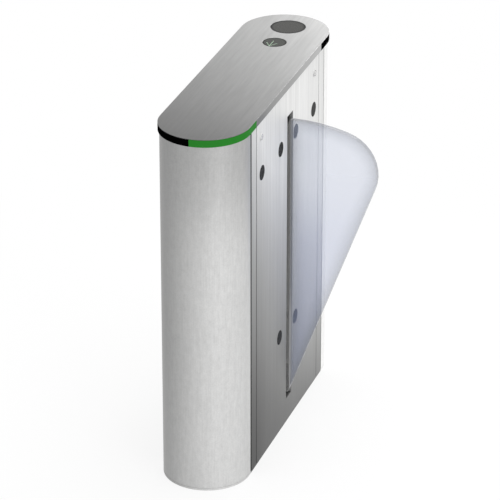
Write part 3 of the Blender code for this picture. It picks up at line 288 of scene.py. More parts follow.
# Pale strips on the slot's folded lips: a painted reflection that stands in for the lit steel of the lips
LIP_HIGHLIGHT_THICKNESS = 0.0018
LIP_HIGHLIGHT_DEPTH = 0.0085
LIP_HIGHLIGHT_SIDES = 6

# Motor fins, with the shares of the motor's height that stay bare below and above them
FIN_COUNT = 17
FIN_THICKNESS = 0.0016
FIN_SINK = 0.0005
FIN_FOOT_SHARE = 0.12
FIN_HEAD_SHARE = 0.22

# Turns that bring a screw, fin or light from facing up to another side
FACING_UP = (0.0, 0.0, 0.0)
FACING_SERVICE_SIDE = (0.0, -math.pi / 2, 0.0)
FACING_NEAR = (math.pi / 2, 0.0, 0.0)
FACING_FAR = (-math.pi / 2, 0.0, 0.0)


# Shader and geometry trees, written as sums and products

class Wire:
    """A node's output. Arithmetic on it adds the Math nodes."""

    def __init__(self, tree, socket):
        self.tree = tree
        self.socket = socket

    def maths(self, operation, *values):
        return self.tree.node("ShaderNodeMath", {"operation": operation}, dict(enumerate(values)))

    def other(self, output):
        return Wire(self.tree, self.socket.node.outputs[output])

    def __add__(self, value):
        return self.maths("ADD", self, value)

    def __sub__(self, value):
        return self.maths("SUBTRACT", self, value)

    def __mul__(self, value):
        return self.maths("MULTIPLY", self, value)

    def __pow__(self, value):
        return self.maths("POWER", self, value)

    def __gt__(self, value):
        return self.maths("GREATER_THAN", self, value)

    def __radd__(self, value):
        return self.maths("ADD", value, self)

    def __rsub__(self, value):
        return self.maths("SUBTRACT", value, self)

    def __rmul__(self, value):
        return self.maths("MULTIPLY", value, self)

    def __neg__(self):
        return self.maths("MULTIPLY", self, -1.0)


class Tree:
    """A node tree. node() adds any node: its settings first, then its values and links."""

    # Where a Mix node has its share and two colours, and where the mixed colour comes out
    MIX_SHARE, MIX_FIRST, MIX_SECOND, MIX_RESULT = 0, 6, 7, 2

    def __init__(self, nodes):
        self.nodes = nodes

    def node(self, kind, settings=None, values=None, output=0):
        made = self.nodes.nodes.new(kind)
        for name, value in (settings or {}).items():
            setattr(made, name, value)
        for name, value in (values or {}).items():
            self.feed(made.inputs[name], value)
        return Wire(self, made.outputs[output])

    def feed(self, socket, value):
        if isinstance(value, Wire):
            self.nodes.links.new(value.socket, socket)
        else:
            socket.default_value = value

    def place(self):
        return self.node("ShaderNodeTexCoord", output="Object")

    def along(self, axis):
        """The object coordinate along X, Y or Z."""
        return self.node("ShaderNodeSeparateXYZ", values={0: self.place()}, output=axis)

    def noise(self, scale, detail):
        """Noise about a half, with a scale per metre on each axis."""
        spread = self.node("ShaderNodeMapping", values={"Vector": self.place(), "Scale": scale})
        values = {"Vector": spread, "Scale": 1.0, "Detail": detail, "Roughness": NOISE_ROUGHNESS}
        return self.node("ShaderNodeTexNoise", values=values)

    def vector_maths(self, operation, values, output=0):
        return self.node("ShaderNodeVectorMath", {"operation": operation}, values, output)

    def mixed(self, share, first, second):
        """The first colour, going over to the second as the share goes from zero to one."""
        values = {self.MIX_SHARE: share, self.MIX_FIRST: first, self.MIX_SECOND: second}
        return self.node("ShaderNodeMix", {"data_type": "RGBA"}, values, self.MIX_RESULT)

    def shaded(self, colour, level):
        """A colour made lighter or darker by a level."""
        return self.vector_maths("SCALE", {0: colour, "Scale": level})

    def eased(self, value, low, high, start=0.0, end=1.0, kind="SMOOTHSTEP"):
        """A smooth step from start to end while the value goes from low to high."""
        settings = {"interpolation_type": kind}
        values = {"Value": value, "From Min": low, "From Max": high, "To Min": start, "To Max": end}
        return self.node("ShaderNodeMapRange", settings, values)

    def straight(self, value, low, high, start, end):
        """A straight ramp from start to end while the value goes from low to high."""
        return self.eased(value, low, high, start, end, "LINEAR")

    def bump(self, height, distance, strength):
        values = {"Height": height, "Distance": distance, "Strength": strength}
        return self.node("ShaderNodeBump", values=values)


def summed(base, shares, *noises):
    """A base with a share of each noise added."""
    total = base
    for share, noise in zip(shares, noises):
        total = total + share * noise
    return total


def distance(across, up):
    return (across * across + up * up) ** 0.5


def new_finish(name, **constants):
    """A material with a Principled shader, its constants set, and the tree to go on with."""
    material = bpy.data.materials.new(name)
    material.use_nodes = True
    shader = material.node_tree.nodes["Principled BSDF"]
    for label, value in constants.items():
        shader.inputs[label.replace("_", " ")].default_value = value
    return material, shader, Tree(material.node_tree)


def feed_shader(tree, shader, **inputs):
    for label, value in inputs.items():
        tree.feed(shader.inputs[label.replace("_", " ")], value)


# Shade and reflection painted into the steel's colour

def lid_shading(tree):
    """Painted reflection and shade: lighter towards the far end and the flap side, the folded edges more so
    than the top.
    """
    along = tree.straight(tree.along("Y"), -LID_REACH, LID_REACH, *LID_LEVELS)
    across = tree.straight(tree.along("X"), -LID_ACROSS, LID_ACROSS, *LID_ACROSS_LEVELS)
    rim = tree.straight(tree.along("Y"), -LID_REACH, LID_REACH, *LID_RIM_LEVELS)
    return along * across * tree.eased(tree.along("Z"), *LID_RIM_HEIGHTS, rim, 1.0)


def side_shading(tree):
    """Painted reflection and shade: lighter upwards and towards the far end, up to a most."""
    place, up = tree.along("Y"), tree.along("Z")
    corner = tree.eased(place, *SIDE_CORNER_REACH, SIDE_CORNER_DROP, 0.0)
    foot = tree.straight(place, -SIDE_REACH, SIDE_REACH, *SIDE_FOOT_LEVELS) - corner
    rise = tree.eased(place, *SIDE_RISE_REACH, *SIDE_RISE_LEVELS)
    curve = tree.straight(place, -SIDE_CURVE_REACH, SIDE_CURVE_REACH, *SIDE_CURVES)
    level = foot + rise * up.maths("MAXIMUM", up, 0.0) ** curve
    return level.maths("MINIMUM", level, SIDE_MOST)


def column_shading(tree):
    """Painted reflection and shade, by the turn from -X round the end to +X.

    The near end is painted darker under the lid, and the far one lighter at +X.
    """
    out = tree.along("Y")
    past = out.maths("ABSOLUTE", out) - END_CENTRE
    beyond = past.maths("MAXIMUM", past, 0.0)
    turn = beyond.maths("ARCTAN2", beyond, -tree.along("X"))
    far = tree.eased(out, *COLUMN_FAR_REACH)
    dip = tree.eased(tree.along("Z"), *COLUMN_DIP_HEIGHTS, *COLUMN_DIPS)
    lift = tree.eased(turn, *COLUMN_FAR_TURNS, 0.0, COLUMN_FAR_LIFT)
    round_it = tree.eased(turn, *COLUMN_TURNS, dip, COLUMN_LIGHT) + lift * far
    back = tree.eased(turn, 0.0, COLUMN_BACK_TURN, COLUMN_BACK_RISE, 0.0)
    side = tree.eased(turn, COLUMN_SIDE_TURN, math.pi, 0.0, COLUMN_SIDE_DROP)
    under_lid = tree.eased(tree.along("Z"), *COLUMN_SHADE_HEIGHTS, 0.0, COLUMN_SHADE_MOST)
    shade = under_lid * (1.0 - far)
    return (round_it + back - side) * (1.0 - shade) + COLUMN_SHADE_TONE * shade


def base_shading(tree):
    """Painted shade and reflection on the plate's edge, which goes with what stands on it: the long sides,
    and the columns at the ends.
    """
    out = tree.along("Y")
    at_end = tree.eased(out.maths("ABSOLUTE", out), *BASE_END_REACH)
    return side_shading(tree) * (1.0 - at_end) + column_shading(tree) * at_end


# Finishes

def brushed_steel(name, shading, grain, streaks, least_gloss):
    """Satin sheet: fine grain and broad streaks along one axis, with soft clouds of gloss, and painted shade
    and reflection in its colour.
    """
    material, shader, tree = new_finish(name, Metallic=1.0)
    fine = tree.noise(grain, detail=2.0)
    broad = tree.noise(streaks, detail=3.0)
    cloud = tree.noise(STEEL_CLOUDS, detail=2.0)
    level = summed(*STEEL_LEVEL, fine, broad, cloud) * shading(tree)
    gloss = summed(least_gloss, STEEL_GLOSS_SHARES, broad, cloud)
    feed_shader(tree, shader, Base_Color=tree.shaded(STEEL, level), Roughness=gloss,
                Normal=tree.bump(fine, *STEEL_RELIEF))
    return material


def satin_column(name, shading):
    """Bead-blasted and lightly brushed: a fine mottle with faint upright hairlines, and painted shade and
    reflection in its colour.
    """
    material, shader, tree = new_finish(name, Metallic=1.0)
    mottle = tree.noise(COLUMN_MOTTLE, detail=3.0)
    patch = tree.noise(COLUMN_PATCHES, detail=3.0)
    hair = tree.noise(COLUMN_HAIRS, detail=2.0)
    level = summed(*COLUMN_LEVEL, mottle, patch, hair) * shading(tree)
    relief = mottle * COLUMN_RELIEF_SHARE + hair * COLUMN_RELIEF_SHARE
    feed_shader(tree, shader, Base_Color=tree.shaded(STEEL, level),
                Roughness=summed(*COLUMN_GLOSS, patch, mottle), Normal=tree.bump(relief, *COLUMN_RELIEF))
    return material


def from_centre(tree, centre):
    """The distance from a centre, as seen from above."""
    offset = tree.vector_maths("SUBTRACT", {0: tree.place(), 1: centre})
    flat = tree.vector_maths("MULTIPLY", {0: offset, 1: IN_PLAN})
    return tree.vector_maths("LENGTH", {0: flat}, output="Value")


def smoked_glass(name, middle, rim, centre=None, radius=1.0):
    """Dark window with little shine. With a centre given, it goes over to another tone at its rim."""
    material, shader, tree = new_finish(name, Specular_IOR_Level=0.03)
    haze = tree.noise(GLASS_HAZE, detail=2.0)
    inside = 1.0
    if centre:
        low, high = (share * radius for share in GLASS_RIM_SHARES)
        inside = tree.eased(from_centre(tree, centre), low, high, 1.0, 0.0)
    colour = tree.mixed(inside, rim, middle)
    feed_shader(tree, shader, Base_Color=tree.shaded(colour, summed(*GLASS_LEVEL, haze)),
                Roughness=summed(*GLASS_GLOSS, haze))
    return material


def lit_green(name):
    """The diffuser in front of its lights: even, with a faint grain."""
    material, shader, tree = new_finish(name, Roughness=0.42, Emission_Strength=LIGHT_STRENGTH,
                                        Specular_IOR_Level=0.02)
    grain = tree.noise(GREEN_GRAIN, detail=2.0)
    glow = tree.noise(GREEN_GLOW, detail=1.0)
    level = summed(*GREEN_LEVEL, grain, glow)
    feed_shader(tree, shader, Base_Color=tree.shaded(GREEN_TONE, level),
                Emission_Color=tree.shaded(GREEN_LIGHT, level))
    return material


def arrow_green(name):
    """The small pale green lights of the arrow."""
    material, shader, tree = new_finish(name, Roughness=0.4, Emission_Strength=LIGHT_STRENGTH)
    level = summed(*ARROW_LEVEL, tree.noise(ARROW_CLOUDS, detail=1.0))
    feed_shader(tree, shader, Base_Color=tree.shaded(ARROW_TONE, level),
                Emission_Color=tree.shaded(ARROW_LIGHT, level))
    return material


def plastic(name, tone, gloss, depth=PLASTIC_DEPTH, shine=0.5):
    """Moulded plastic with a fine spark-eroded texture."""
    material, shader, tree = new_finish(name, IOR=1.5, Specular_IOR_Level=shine)
    texture = tree.noise(PLASTIC_TEXTURE, detail=2.0)
    wear = tree.noise(PLASTIC_WEAR, detail=3.0)
    feed_shader(tree, shader, Base_Color=tree.shaded(tone, summed(*PLASTIC_LEVEL, texture, wear)),
                Roughness=summed(gloss - PLASTIC_GLOSS_DROP, PLASTIC_GLOSS_SHARES, wear),
                Normal=tree.bump(texture, depth, PLASTIC_RELIEF_STRENGTH))
    return material


def metal(name, tone, gloss, scale=METAL_MARKS):
    """Plated or machined metal: tool marks, with a cloudy sheen."""
    material, shader, tree = new_finish(name, Metallic=1.0)
    marks = tree.noise(scale, detail=2.0)
    cloud = tree.noise(METAL_CLOUDS, detail=3.0)
    feed_shader(tree, shader, Base_Color=tree.shaded(tone, summed(*METAL_LEVEL, marks, cloud)),
                Roughness=summed(gloss - METAL_GLOSS_DROP, METAL_GLOSS_SHARES, marks, cloud),
                Normal=tree.bump(marks, *METAL_RELIEF))
    return material


def painted(name, tone, metallic=0.0):
    """Sprayed or powder-coated metal with orange peel."""
    material, shader, tree = new_finish(name, Metallic=metallic, IOR=1.5)
    peel = tree.noise(PAINT_PEEL, detail=2.0)
    dust = tree.noise(PAINT_DUST, detail=4.0)
    feed_shader(tree, shader, Base_Color=tree.shaded(tone, summed(*PAINT_LEVEL, dust)),
                Roughness=summed(*PAINT_GLOSS, dust), Normal=tree.bump(peel, *PAINT_RELIEF))
    return material


def board(name):
    """Green solder mask with lighter tracks that run square."""
    material, shader, tree = new_finish(name, Roughness=0.35)
    cells = {"Vector": tree.place(), "Scale": BOARD_CELLS}
    tracks = tree.node("ShaderNodeTexVoronoi", {"distance": "CHEBYCHEV", "feature": "F1"}, cells)
    colour = tree.mixed(tracks > BOARD_TRACKS_FROM, BOARD_MASK, BOARD_TRACK)
    feed_shader(tree, shader, Base_Color=colour)
    return material


def wing_border(tree):
    """How far a point lies inside the wing's outer edges, and inside the lower one, in metres."""
    lean = Vector((math.sin(WING_EDGE_LEAN), math.cos(WING_EDGE_LEAN)))
    inward = Vector((-lean.y, lean.x))
    start = Vector((WING_EDGE_OUT, PIVOT_HEIGHT))
    top_centre = Vector((WING_TOP_CENTRE_OUT, PIVOT_HEIGHT + WING_TOP_UP - WING_TOP_RADIUS))
    offset = start + inward * WING_TIP_RADIUS - top_centre
    span = WING_TOP_RADIUS - WING_TIP_RADIUS
    along = offset.dot(lean)
    run = -along + math.sqrt(along * along - offset.length_squared + span * span)
    tip = start + lean * run + inward * WING_TIP_RADIUS
    out, up = tree.along("X"), tree.along("Z")
    from_edge = (out - start.x) * inward.x + (up - start.y) * inward.y
    from_top = WING_TOP_RADIUS - distance(out - top_centre.x, up - top_centre.y)
    from_tip = WING_TIP_RADIUS - distance(out - tip.x, up - tip.y)
    past_edge = (out - tip.x) * lean.x + (up - tip.y) * lean.y > 0.0
    meet = (tip - top_centre).normalized()
    below_top = (out - tip.x) * meet.y - (up - tip.y) * meet.x > 0.0
    in_tip = past_edge * below_top
    plain = from_edge.maths("MINIMUM", from_edge, from_top)
    return plain * (1.0 - in_tip) + from_tip * in_tip, from_edge


def frosted_acrylic(name):
    """Faintly blue sheet that is seen through, painted darker low down, with a soft grey border of
    painted shade all round and along the slot.

    Its edges are painted dark as shade, with a paler line along the lower one as a painted
    highlight. Its root, which stays in the slot, is plain grey. Beside the root runs a paler strip,
    a painted reflection of the slot's lip, palest low down.
    """
    material, shader, tree = new_finish(name, Roughness=0.25, IOR=1.49, Specular_IOR_Level=0.15)
    outer, from_edge = wing_border(tree)
    out, up = tree.along("X"), tree.along("Z")
    inside = outer.maths("MINIMUM", outer, out - WING_ROOT[1])
    border = tree.straight(inside, 0.0, WING_BORDER, 1.0, 0.0) ** WING_BORDER_FALL
    line = tree.eased(from_edge, 0.0, WING_LINE, 1.0, 0.0)
    rim = tree.eased(outer, 0.0, WING_RIM, 1.0, 0.0)
    root = tree.eased(out, *WING_ROOT, 1.0, 0.0)
    strip = tree.eased(out, *WING_STRIP, 1.0, 0.0) * (1.0 - root)
    frost = tree.noise(WING_FROST, detail=2.0)
    cloud = tree.noise(WING_CLOUDS, detail=2.0)
    low_down = tree.eased(up, *WING_STRIP_HEIGHTS, 1.0, 0.0)
    body = tree.mixed(tree.eased(up, *WING_HEIGHTS), *WING_BODY_TONES)
    soft = tree.mixed(border, body, WING_BORDER_SHADE_TONE)
    rimmed = tree.mixed(rim, soft, WING_RIM_SHADE_TONE)
    edged = tree.mixed(line * (1.0 - root), rimmed, WING_LINE_HIGHLIGHT_TONE)
    pale = tree.mixed(low_down, WING_STRIP_REFLECTION_TONE, WING_STRIP_LOW_REFLECTION_TONE)
    colour = tree.mixed(root, tree.mixed(strip, edged, pale), WING_ROOT_TONE)
    veil = summed(*WING_VEIL, cloud, frost, border, rim, line)
    alpha = veil + summed(*WING_STRIP_VEIL, low_down) * strip + WING_ROOT_VEIL * root
    feed_shader(tree, shader, Base_Color=colour, Alpha=alpha)
    return material


# The steel finishes carry painted shade and reflection from their shading
LID_STEEL = brushed_steel("lid_steel", lid_shading, LENGTH_GRAIN, LENGTH_STREAKS, least_gloss=0.27)
PANEL_STEEL = brushed_steel("panel_steel", side_shading, UPRIGHT_GRAIN, UPRIGHT_STREAKS, least_gloss=0.46)
BASE_STEEL = brushed_steel("base_steel", base_shading, LENGTH_GRAIN, LENGTH_STREAKS, least_gloss=0.38)
COLUMN_STEEL = satin_column("column_steel", column_shading)
LENS_GLASS = smoked_glass("lens_glass", middle=(0.006, 0.006, 0.006, 1.0), rim=(0.006, 0.006, 0.006, 1.0))
READER_GLASS = smoked_glass("reader_glass", middle=(0.066, 0.066, 0.063, 1.0), rim=(0.026, 0.026, 0.026, 1.0),
                            centre=(0.0, READER_ALONG, 0.0), radius=READER_RADIUS)
INDICATOR_GLASS = smoked_glass("indicator_glass", middle=(0.065, 0.067, 0.063, 1.0),
                               rim=(0.025, 0.026, 0.024, 1.0), centre=(0.0, INDICATOR_ALONG, 0.0),
                               radius=INDICATOR_RADIUS)
GREEN = lit_green("lit_green")
ARROW_GREEN = arrow_green("arrow_light")
BLACK_PLASTIC = plastic("black_plastic_finish", (0.008, 0.008, 0.008), gloss=0.34)
BAND_BLACK = plastic("band_black", (0.0012, 0.0012, 0.0012), gloss=0.34, shine=0.0)
RUBBER = plastic("rubber_finish", (0.012, 0.012, 0.012), gloss=0.80, depth=0.00008, shine=0.12)
LIP_HIGHLIGHT_FINISH = plastic("lip_highlight", (0.26, 0.26, 0.26), gloss=0.60, depth=0.00005, shine=0.2)
PLATED = metal("plated_finish", (0.55, 0.56, 0.58), gloss=0.38)
ALUMINIUM = metal("aluminium_finish", (0.72, 0.73, 0.74), gloss=0.36, scale=(700.0, 40.0, 700.0))
LOCK_CHROME = metal("lock_chrome", (0.92, 0.92, 0.91), gloss=0.20)
GEAR_STEEL = metal("gear_finish", (0.32, 0.33, 0.35), gloss=0.34, scale=(1200.0, 60.0, 1200.0))
PAINTED = painted("casting_paint", (0.17, 0.19, 0.21))
BLACK_STEEL = painted("black_powder_coat", (0.035, 0.035, 0.038), metallic=0.3)
BOARD = board("solder_mask")
ACRYLIC = frosted_acrylic("frosted_acrylic_finish")

SLOT_FINISHES = {
    "brushed_steel": PANEL_STEEL,
    "plated_steel": PLATED,
    "aluminium": ALUMINIUM,
    "gear_steel": GEAR_STEEL,
    "painted_casting": PAINTED,
    "black_steel": BLACK_STEEL,
    "rubber": RUBBER,
    "black_plastic": BLACK_PLASTIC,
    "smoked_lens": LENS_GLASS,
    "green_diffuser": GREEN,
    "circuit_board": BOARD,
    "frosted_acrylic": ACRYLIC,
}
NODE_FINISHES = {
    "lid": LID_STEEL,
    "base_plate": BASE_STEEL,
    "near_column_shell": COLUMN_STEEL,
    "far_column_shell": COLUMN_STEEL,
    "reader_window": READER_GLASS,
    "indicator_window": INDICATOR_GLASS,
    "near_black_band": BAND_BLACK,
    "far_black_band": BAND_BLACK,
    "lock_barrel_near": PANEL_STEEL,
    "lock_barrel_far": PANEL_STEEL,
}
NODE_EDGES = {
    "lid": LID_EDGE,
    "wing": WING_EDGE,
    "gearbox": BLOCK_EDGE,
    "motor": BLOCK_EDGE,
    "controller_box": BLOCK_EDGE,
    "power_supply": BLOCK_EDGE,
    "toothed_sector": FINE_EDGE,
    "drive_pinion": FINE_EDGE,
    "light_board": FINE_EDGE,
    "indicator_board": FINE_EDGE,
}


# Pieces

def linked(name, data):
    """A new object in the scene."""
    item = bpy.data.objects.new(name, data)
    bpy.context.scene.collection.objects.link(item)
    return item


def smooth(mesh):
    """Smooth faces, with edges left sharp where the surface turns hard."""
    mesh.shade_smooth()
    mesh.set_sharp_from_angle(angle=SMOOTH_TURN)


def new_piece(name, mesh, finish, body):
    """A piece of the object, with its finish and the body that it rides on."""
    piece = linked(name, mesh)
    mesh.materials.clear()
    mesh.materials.append(finish)
    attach(piece, body)
    return piece


def made_plain(piece):
    """The mesh of a piece with its modifiers worked in, which then go."""
    graph = bpy.context.evaluated_depsgraph_get()
    mesh = bpy.data.meshes.new_from_object(piece.evaluated_get(graph), depsgraph=graph)
    piece.modifiers.clear()
    return mesh


def finished_skin(skin, name):
    """A mesh with its faces out, from a skin that is then given up."""
    bmesh.ops.recalc_face_normals(skin, faces=skin.faces)
    mesh = bpy.data.meshes.new(name)
    skin.to_mesh(mesh)
    skin.free()
    smooth(mesh)
    return mesh


def add_wall(skin, low, high):
    """Faces between two rings of corners, all the way round."""
    for index in range(len(low)):
        after = (index + 1) % len(low)
        skin.faces.new((low[index], low[after], high[after], high[index]))


def add_solid(skin, rings):
    """Walls from ring to ring of corners, and a face over each end."""
    for low, high in zip(rings, rings[1:]):
        add_wall(skin, low, high)
    skin.faces.new(rings[0][::-1])
    skin.faces.new(rings[-1])


def add_upright(skin, outline, span):
    """A closed upright bar with an outline in plan."""
    add_solid(skin, [[skin.verts.new((x, y, height)) for x, y in outline] for height in span])


def merged_copy(node):
    """A CAD node's mesh as one skin of flat faces. A window's top face is sunk a hair."""
    skin = bmesh.new()
    skin.from_mesh(frame["nodes"][node].data)
    bmesh.ops.remove_doubles(skin, verts=skin.verts, dist=MERGE_DISTANCE)
    bmesh.ops.dissolve_limit(skin, angle_limit=FLAT_TURN, verts=skin.verts, edges=skin.edges)
    if node in SUNK_WINDOWS:
        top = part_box(node)[1].z
        for vertex in skin.verts:
            vertex.co.z = min(vertex.co.z, top - WINDOW_SINK)
    mesh = bpy.data.meshes.new(node + "_skin")
    skin.to_mesh(mesh)
    skin.free()
    return mesh


def dress(node):
    """Stands for a CAD node: the same form with eased edges, smooth curves and a real finish."""
    slot = frame["nodes"][node].data.materials[0].name
    finish = NODE_FINISHES.get(node, SLOT_FINISHES[slot])
    rough = linked(node + "_rough", merged_copy(node))
    bevel = rough.modifiers.new("eased_edges", "BEVEL")
    bevel.width = NODE_EDGES.get(node, LENS_EDGE if node.startswith("lens") else SHEET_EDGE)
    bevel.segments = WING_EDGE_STEPS if node == "wing" else EDGE_STEPS
    bevel.limit_method = "ANGLE"
    bevel.angle_limit = EDGE_TURN
    bevel.use_clamp_overlap = True
    mesh = made_plain(rough)
    bpy.data.objects.remove(rough, do_unlink=True)
    mesh.name = node + "_dressed"
    smooth(mesh)
    piece = new_piece(node + "_dressed", mesh, finish, frame["nodes"][node]["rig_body"])
    weighted = piece.modifiers.new("even_faces", "WEIGHTED_NORMAL")
    weighted.keep_sharp = True
    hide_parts(node)


# Screws, fins and lights that repeat: first each network's inputs, by name and kind

HEAD_INPUTS = [("Head Radius", "Float"), ("Head Height", "Float")]
ROW_INPUTS = [("First", "Vector"), ("Step", "Vector"), ("Count", "Int"), ("Facing", "Vector")]
RING_INPUTS = [("Middle", "Vector"), ("Ring Radius", "Float"), ("Upright", "Vector"), ("Count", "Int"),
               ("Facing", "Vector")]
FIN_INPUTS = [("Fin Radius", "Float"), ("Fin Thickness", "Float")]
LIGHT_INPUTS = [("First", "Vector"), ("Last", "Vector"), ("Spacing", "Float"), ("Facing", "Vector"),
                ("Dot Radius", "Float"), ("Dot Height", "Float")]


def new_network(name, sizes):
    """A geometry tree with one mesh output, a named input for each size and one for the finish."""
    group = bpy.data.node_groups.new(name, "GeometryNodeTree")
    group.interface.new_socket("Mesh", in_out="OUTPUT", socket_type="NodeSocketGeometry")
    for label, kind in sizes + [("Finish", "Material")]:
        group.interface.new_socket(label, in_out="INPUT", socket_type="NodeSocket" + kind)
    tree = Tree(group)
    return group, tree, tree.node("NodeGroupInput")


def end_network(tree, inputs, geometry):
    real = tree.node("GeometryNodeRealizeInstances", values={0: geometry})
    values = {"Geometry": real, "Material": inputs.other("Finish")}
    finished = tree.node("GeometryNodeSetMaterial", values=values)
    end = tree.nodes.nodes.new("NodeGroupOutput")
    tree.feed(end.inputs[0], finished)


def cylinder(tree, sides, radius, height):
    values = {"Vertices": sides, "Radius": radius, "Depth": height}
    return tree.node("GeometryNodeMeshCylinder", {"fill_type": "NGON"}, values)


def point_row(tree, inputs):
    """Points in a straight row."""
    values = {"Count": inputs.other("Count"), "Start Location": inputs.other("First"),
              "Offset": inputs.other("Step")}
    return tree.node("GeometryNodeMeshLine", {"mode": "OFFSET"}, values)


def spread_on(tree, inputs, points, item):
    """The same item on every point, turned the way that it faces."""
    turn = tree.node("FunctionNodeEulerToRotation", values={0: inputs.other("Facing")})
    values = {"Points": points, "Instance": item, "Rotation": turn}
    return tree.node("GeometryNodeInstanceOnPoints", values=values)


def screw_head(tree, inputs):
    """A socket-head screw from a cylinder: a chamfered rim and a recess in its top face."""
    radius, height = inputs.other("Head Radius"), inputs.other("Head Height")
    head = cylinder(tree, SCREW_SIDES, radius, height * HEAD_BODY_SHARE)
    top = head.other("Top")
    chamfer = (height * (1.0 - HEAD_BODY_SHARE), CHAMFER_SHARE)
    socket_rim = (0.0, SOCKET_SHARE)
    recess = (height * -HEAD_BODY_SHARE, 1.0)
    for rise, share in (chamfer, socket_rim, recess):
        values = {"Mesh": head, "Selection": top, "Offset Scale": rise}
        raised = tree.node("GeometryNodeExtrudeMesh", {"mode": "FACES"}, values)
        values = {"Geometry": raised, "Selection": raised.other("Top"), "Scale": share}
        head, top = tree.node("GeometryNodeScaleElements", values=values), raised.other("Top")
    lift = tree.node("ShaderNodeCombineXYZ", values={"Z": height * (HEAD_BODY_SHARE / 2)})
    return tree.node("GeometryNodeTransform", values={"Geometry": head, "Translation": lift})


def screw_row_network():
    """Screws in a straight row."""
    group, tree, inputs = new_network("screw_row", ROW_INPUTS + HEAD_INPUTS)
    end_network(tree, inputs, spread_on(tree, inputs, point_row(tree, inputs), screw_head(tree, inputs)))
    return group


def screw_ring_network():
    """Screws on a circle that faces along Y."""
    group, tree, inputs = new_network("screw_ring", RING_INPUTS + HEAD_INPUTS)
    values = {"Vertices": inputs.other("Count"), "Radius": inputs.other("Ring Radius")}
    ring = tree.node("GeometryNodeMeshCircle", values=values)
    turn = tree.node("FunctionNodeEulerToRotation", values={0: inputs.other("Upright")})
    values = {"Geometry": ring, "Translation": inputs.other("Middle"), "Rotation": turn}
    placed = tree.node("GeometryNodeTransform", values=values)
    end_network(tree, inputs, spread_on(tree, inputs, placed, screw_head(tree, inputs)))
    return group


def fin_stack_network():
    """Thin round fins up a motor."""
    group, tree, inputs = new_network("fin_stack", ROW_INPUTS + FIN_INPUTS)
    fin = cylinder(tree, ROUND_SIDES, inputs.other("Fin Radius"), inputs.other("Fin Thickness"))
    end_network(tree, inputs, spread_on(tree, inputs, point_row(tree, inputs), fin))
    return group


def light_line_network():
    """Round lights in a row from one point to another, about a step apart."""
    group, tree, inputs = new_network("light_line", LIGHT_INPUTS)
    values = {"Start": inputs.other("First"), "End": inputs.other("Last")}
    line = tree.node("GeometryNodeCurvePrimitiveLine", values=values)
    values = {"Curve": line, "Length": inputs.other("Spacing")}
    points = tree.node("GeometryNodeCurveToPoints", {"mode": "LENGTH"}, values)
    dot = cylinder(tree, ARROW_DOT_SIDES, inputs.other("Dot Radius"), inputs.other("Dot Height"))
    end_network(tree, inputs, spread_on(tree, inputs, points, dot))
    return group


def grown(name, group, finish, body, sizes_list):
    """One piece from a network run once for each set of sizes, on one body."""
    items = [item for item in group.interface.items_tree if item.in_out == "INPUT"]
    identifiers = {item.name: item.identifier for item in items}
    joined = bmesh.new()
    for sizes in sizes_list:
        holder = linked(name + "_holder", bpy.data.meshes.new(name + "_holder"))
        modifier = holder.modifiers.new(name, "NODES")
        modifier.node_group = group
        for label, value in sizes.items():
            modifier[identifiers[label]] = value
        modifier[identifiers["Finish"]] = finish
        mesh = made_plain(holder)
        joined.from_mesh(mesh)
        bpy.data.objects.remove(holder, do_unlink=True)
        bpy.data.meshes.remove(mesh)
    mesh = bpy.data.meshes.new(name)
    joined.to_mesh(mesh)
    joined.free()
    smooth(mesh)
    new_piece(name, mesh, finish, body)


def service_screws(group):
    """Two upright rows of screws that hold the service panel."""
    low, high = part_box("service_panel")
    first = low.z + PANEL_SCREW_MARGIN
    step = (high.z - PANEL_SCREW_MARGIN - first) / (PANEL_SCREW_COUNT - 1)
    rows = []
    for along in (low.y + PANEL_SCREW_IN, high.y - PANEL_SCREW_IN):
        rows.append({"First": (low.x, along, first), "Step": (0.0, 0.0, step), "Count": PANEL_SCREW_COUNT,
                     "Facing": FACING_SERVICE_SIDE, "Head Radius": PANEL_SCREW_RADIUS,
                     "Head Height": PANEL_SCREW_HEIGHT})
    grown("service_panel_screws", group, PLATED, "cabinet", rows)


def bearing_screws(group):
    """Four screws in each bearing's flange."""
    rings = []
    for node, facing, side in (("near_bearing", FACING_NEAR, 0), ("far_bearing", FACING_FAR, 1)):
        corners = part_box(node)
        middle = (corners[0] + corners[1]) / 2
        rings.append({"Middle": (middle.x, corners[side].y, middle.z), "Ring Radius": FLANGE_SCREW_RING,
                      "Count": FLANGE_SCREW_COUNT, "Facing": facing, "Upright": FACING_NEAR,
                      "Head Radius": FLANGE_SCREW_RADIUS, "Head Height": FLANGE_SCREW_HEIGHT})
    grown("bearing_screws", group, PLATED, "cabinet", rings)


def motor_fins(group):
    """Fins up the motor, a touch smaller than its widest part."""
    low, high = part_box("motor")
    middle = (low + high) / 2
    first = low.z + (high.z - low.z) * FIN_FOOT_SHARE
    last = high.z - (high.z - low.z) * FIN_HEAD_SHARE
    step = (last - first) / (FIN_COUNT - 1)
    radius = (high.x - low.x) / 2 - FIN_SINK
    sizes = {"First": (middle.x, middle.y, first), "Step": (0.0, 0.0, step), "Count": FIN_COUNT,
             "Facing": FACING_UP, "Fin Radius": radius, "Fin Thickness": FIN_THICKNESS}
    grown("motor_fins", group, PAINTED, "cabinet", [sizes])


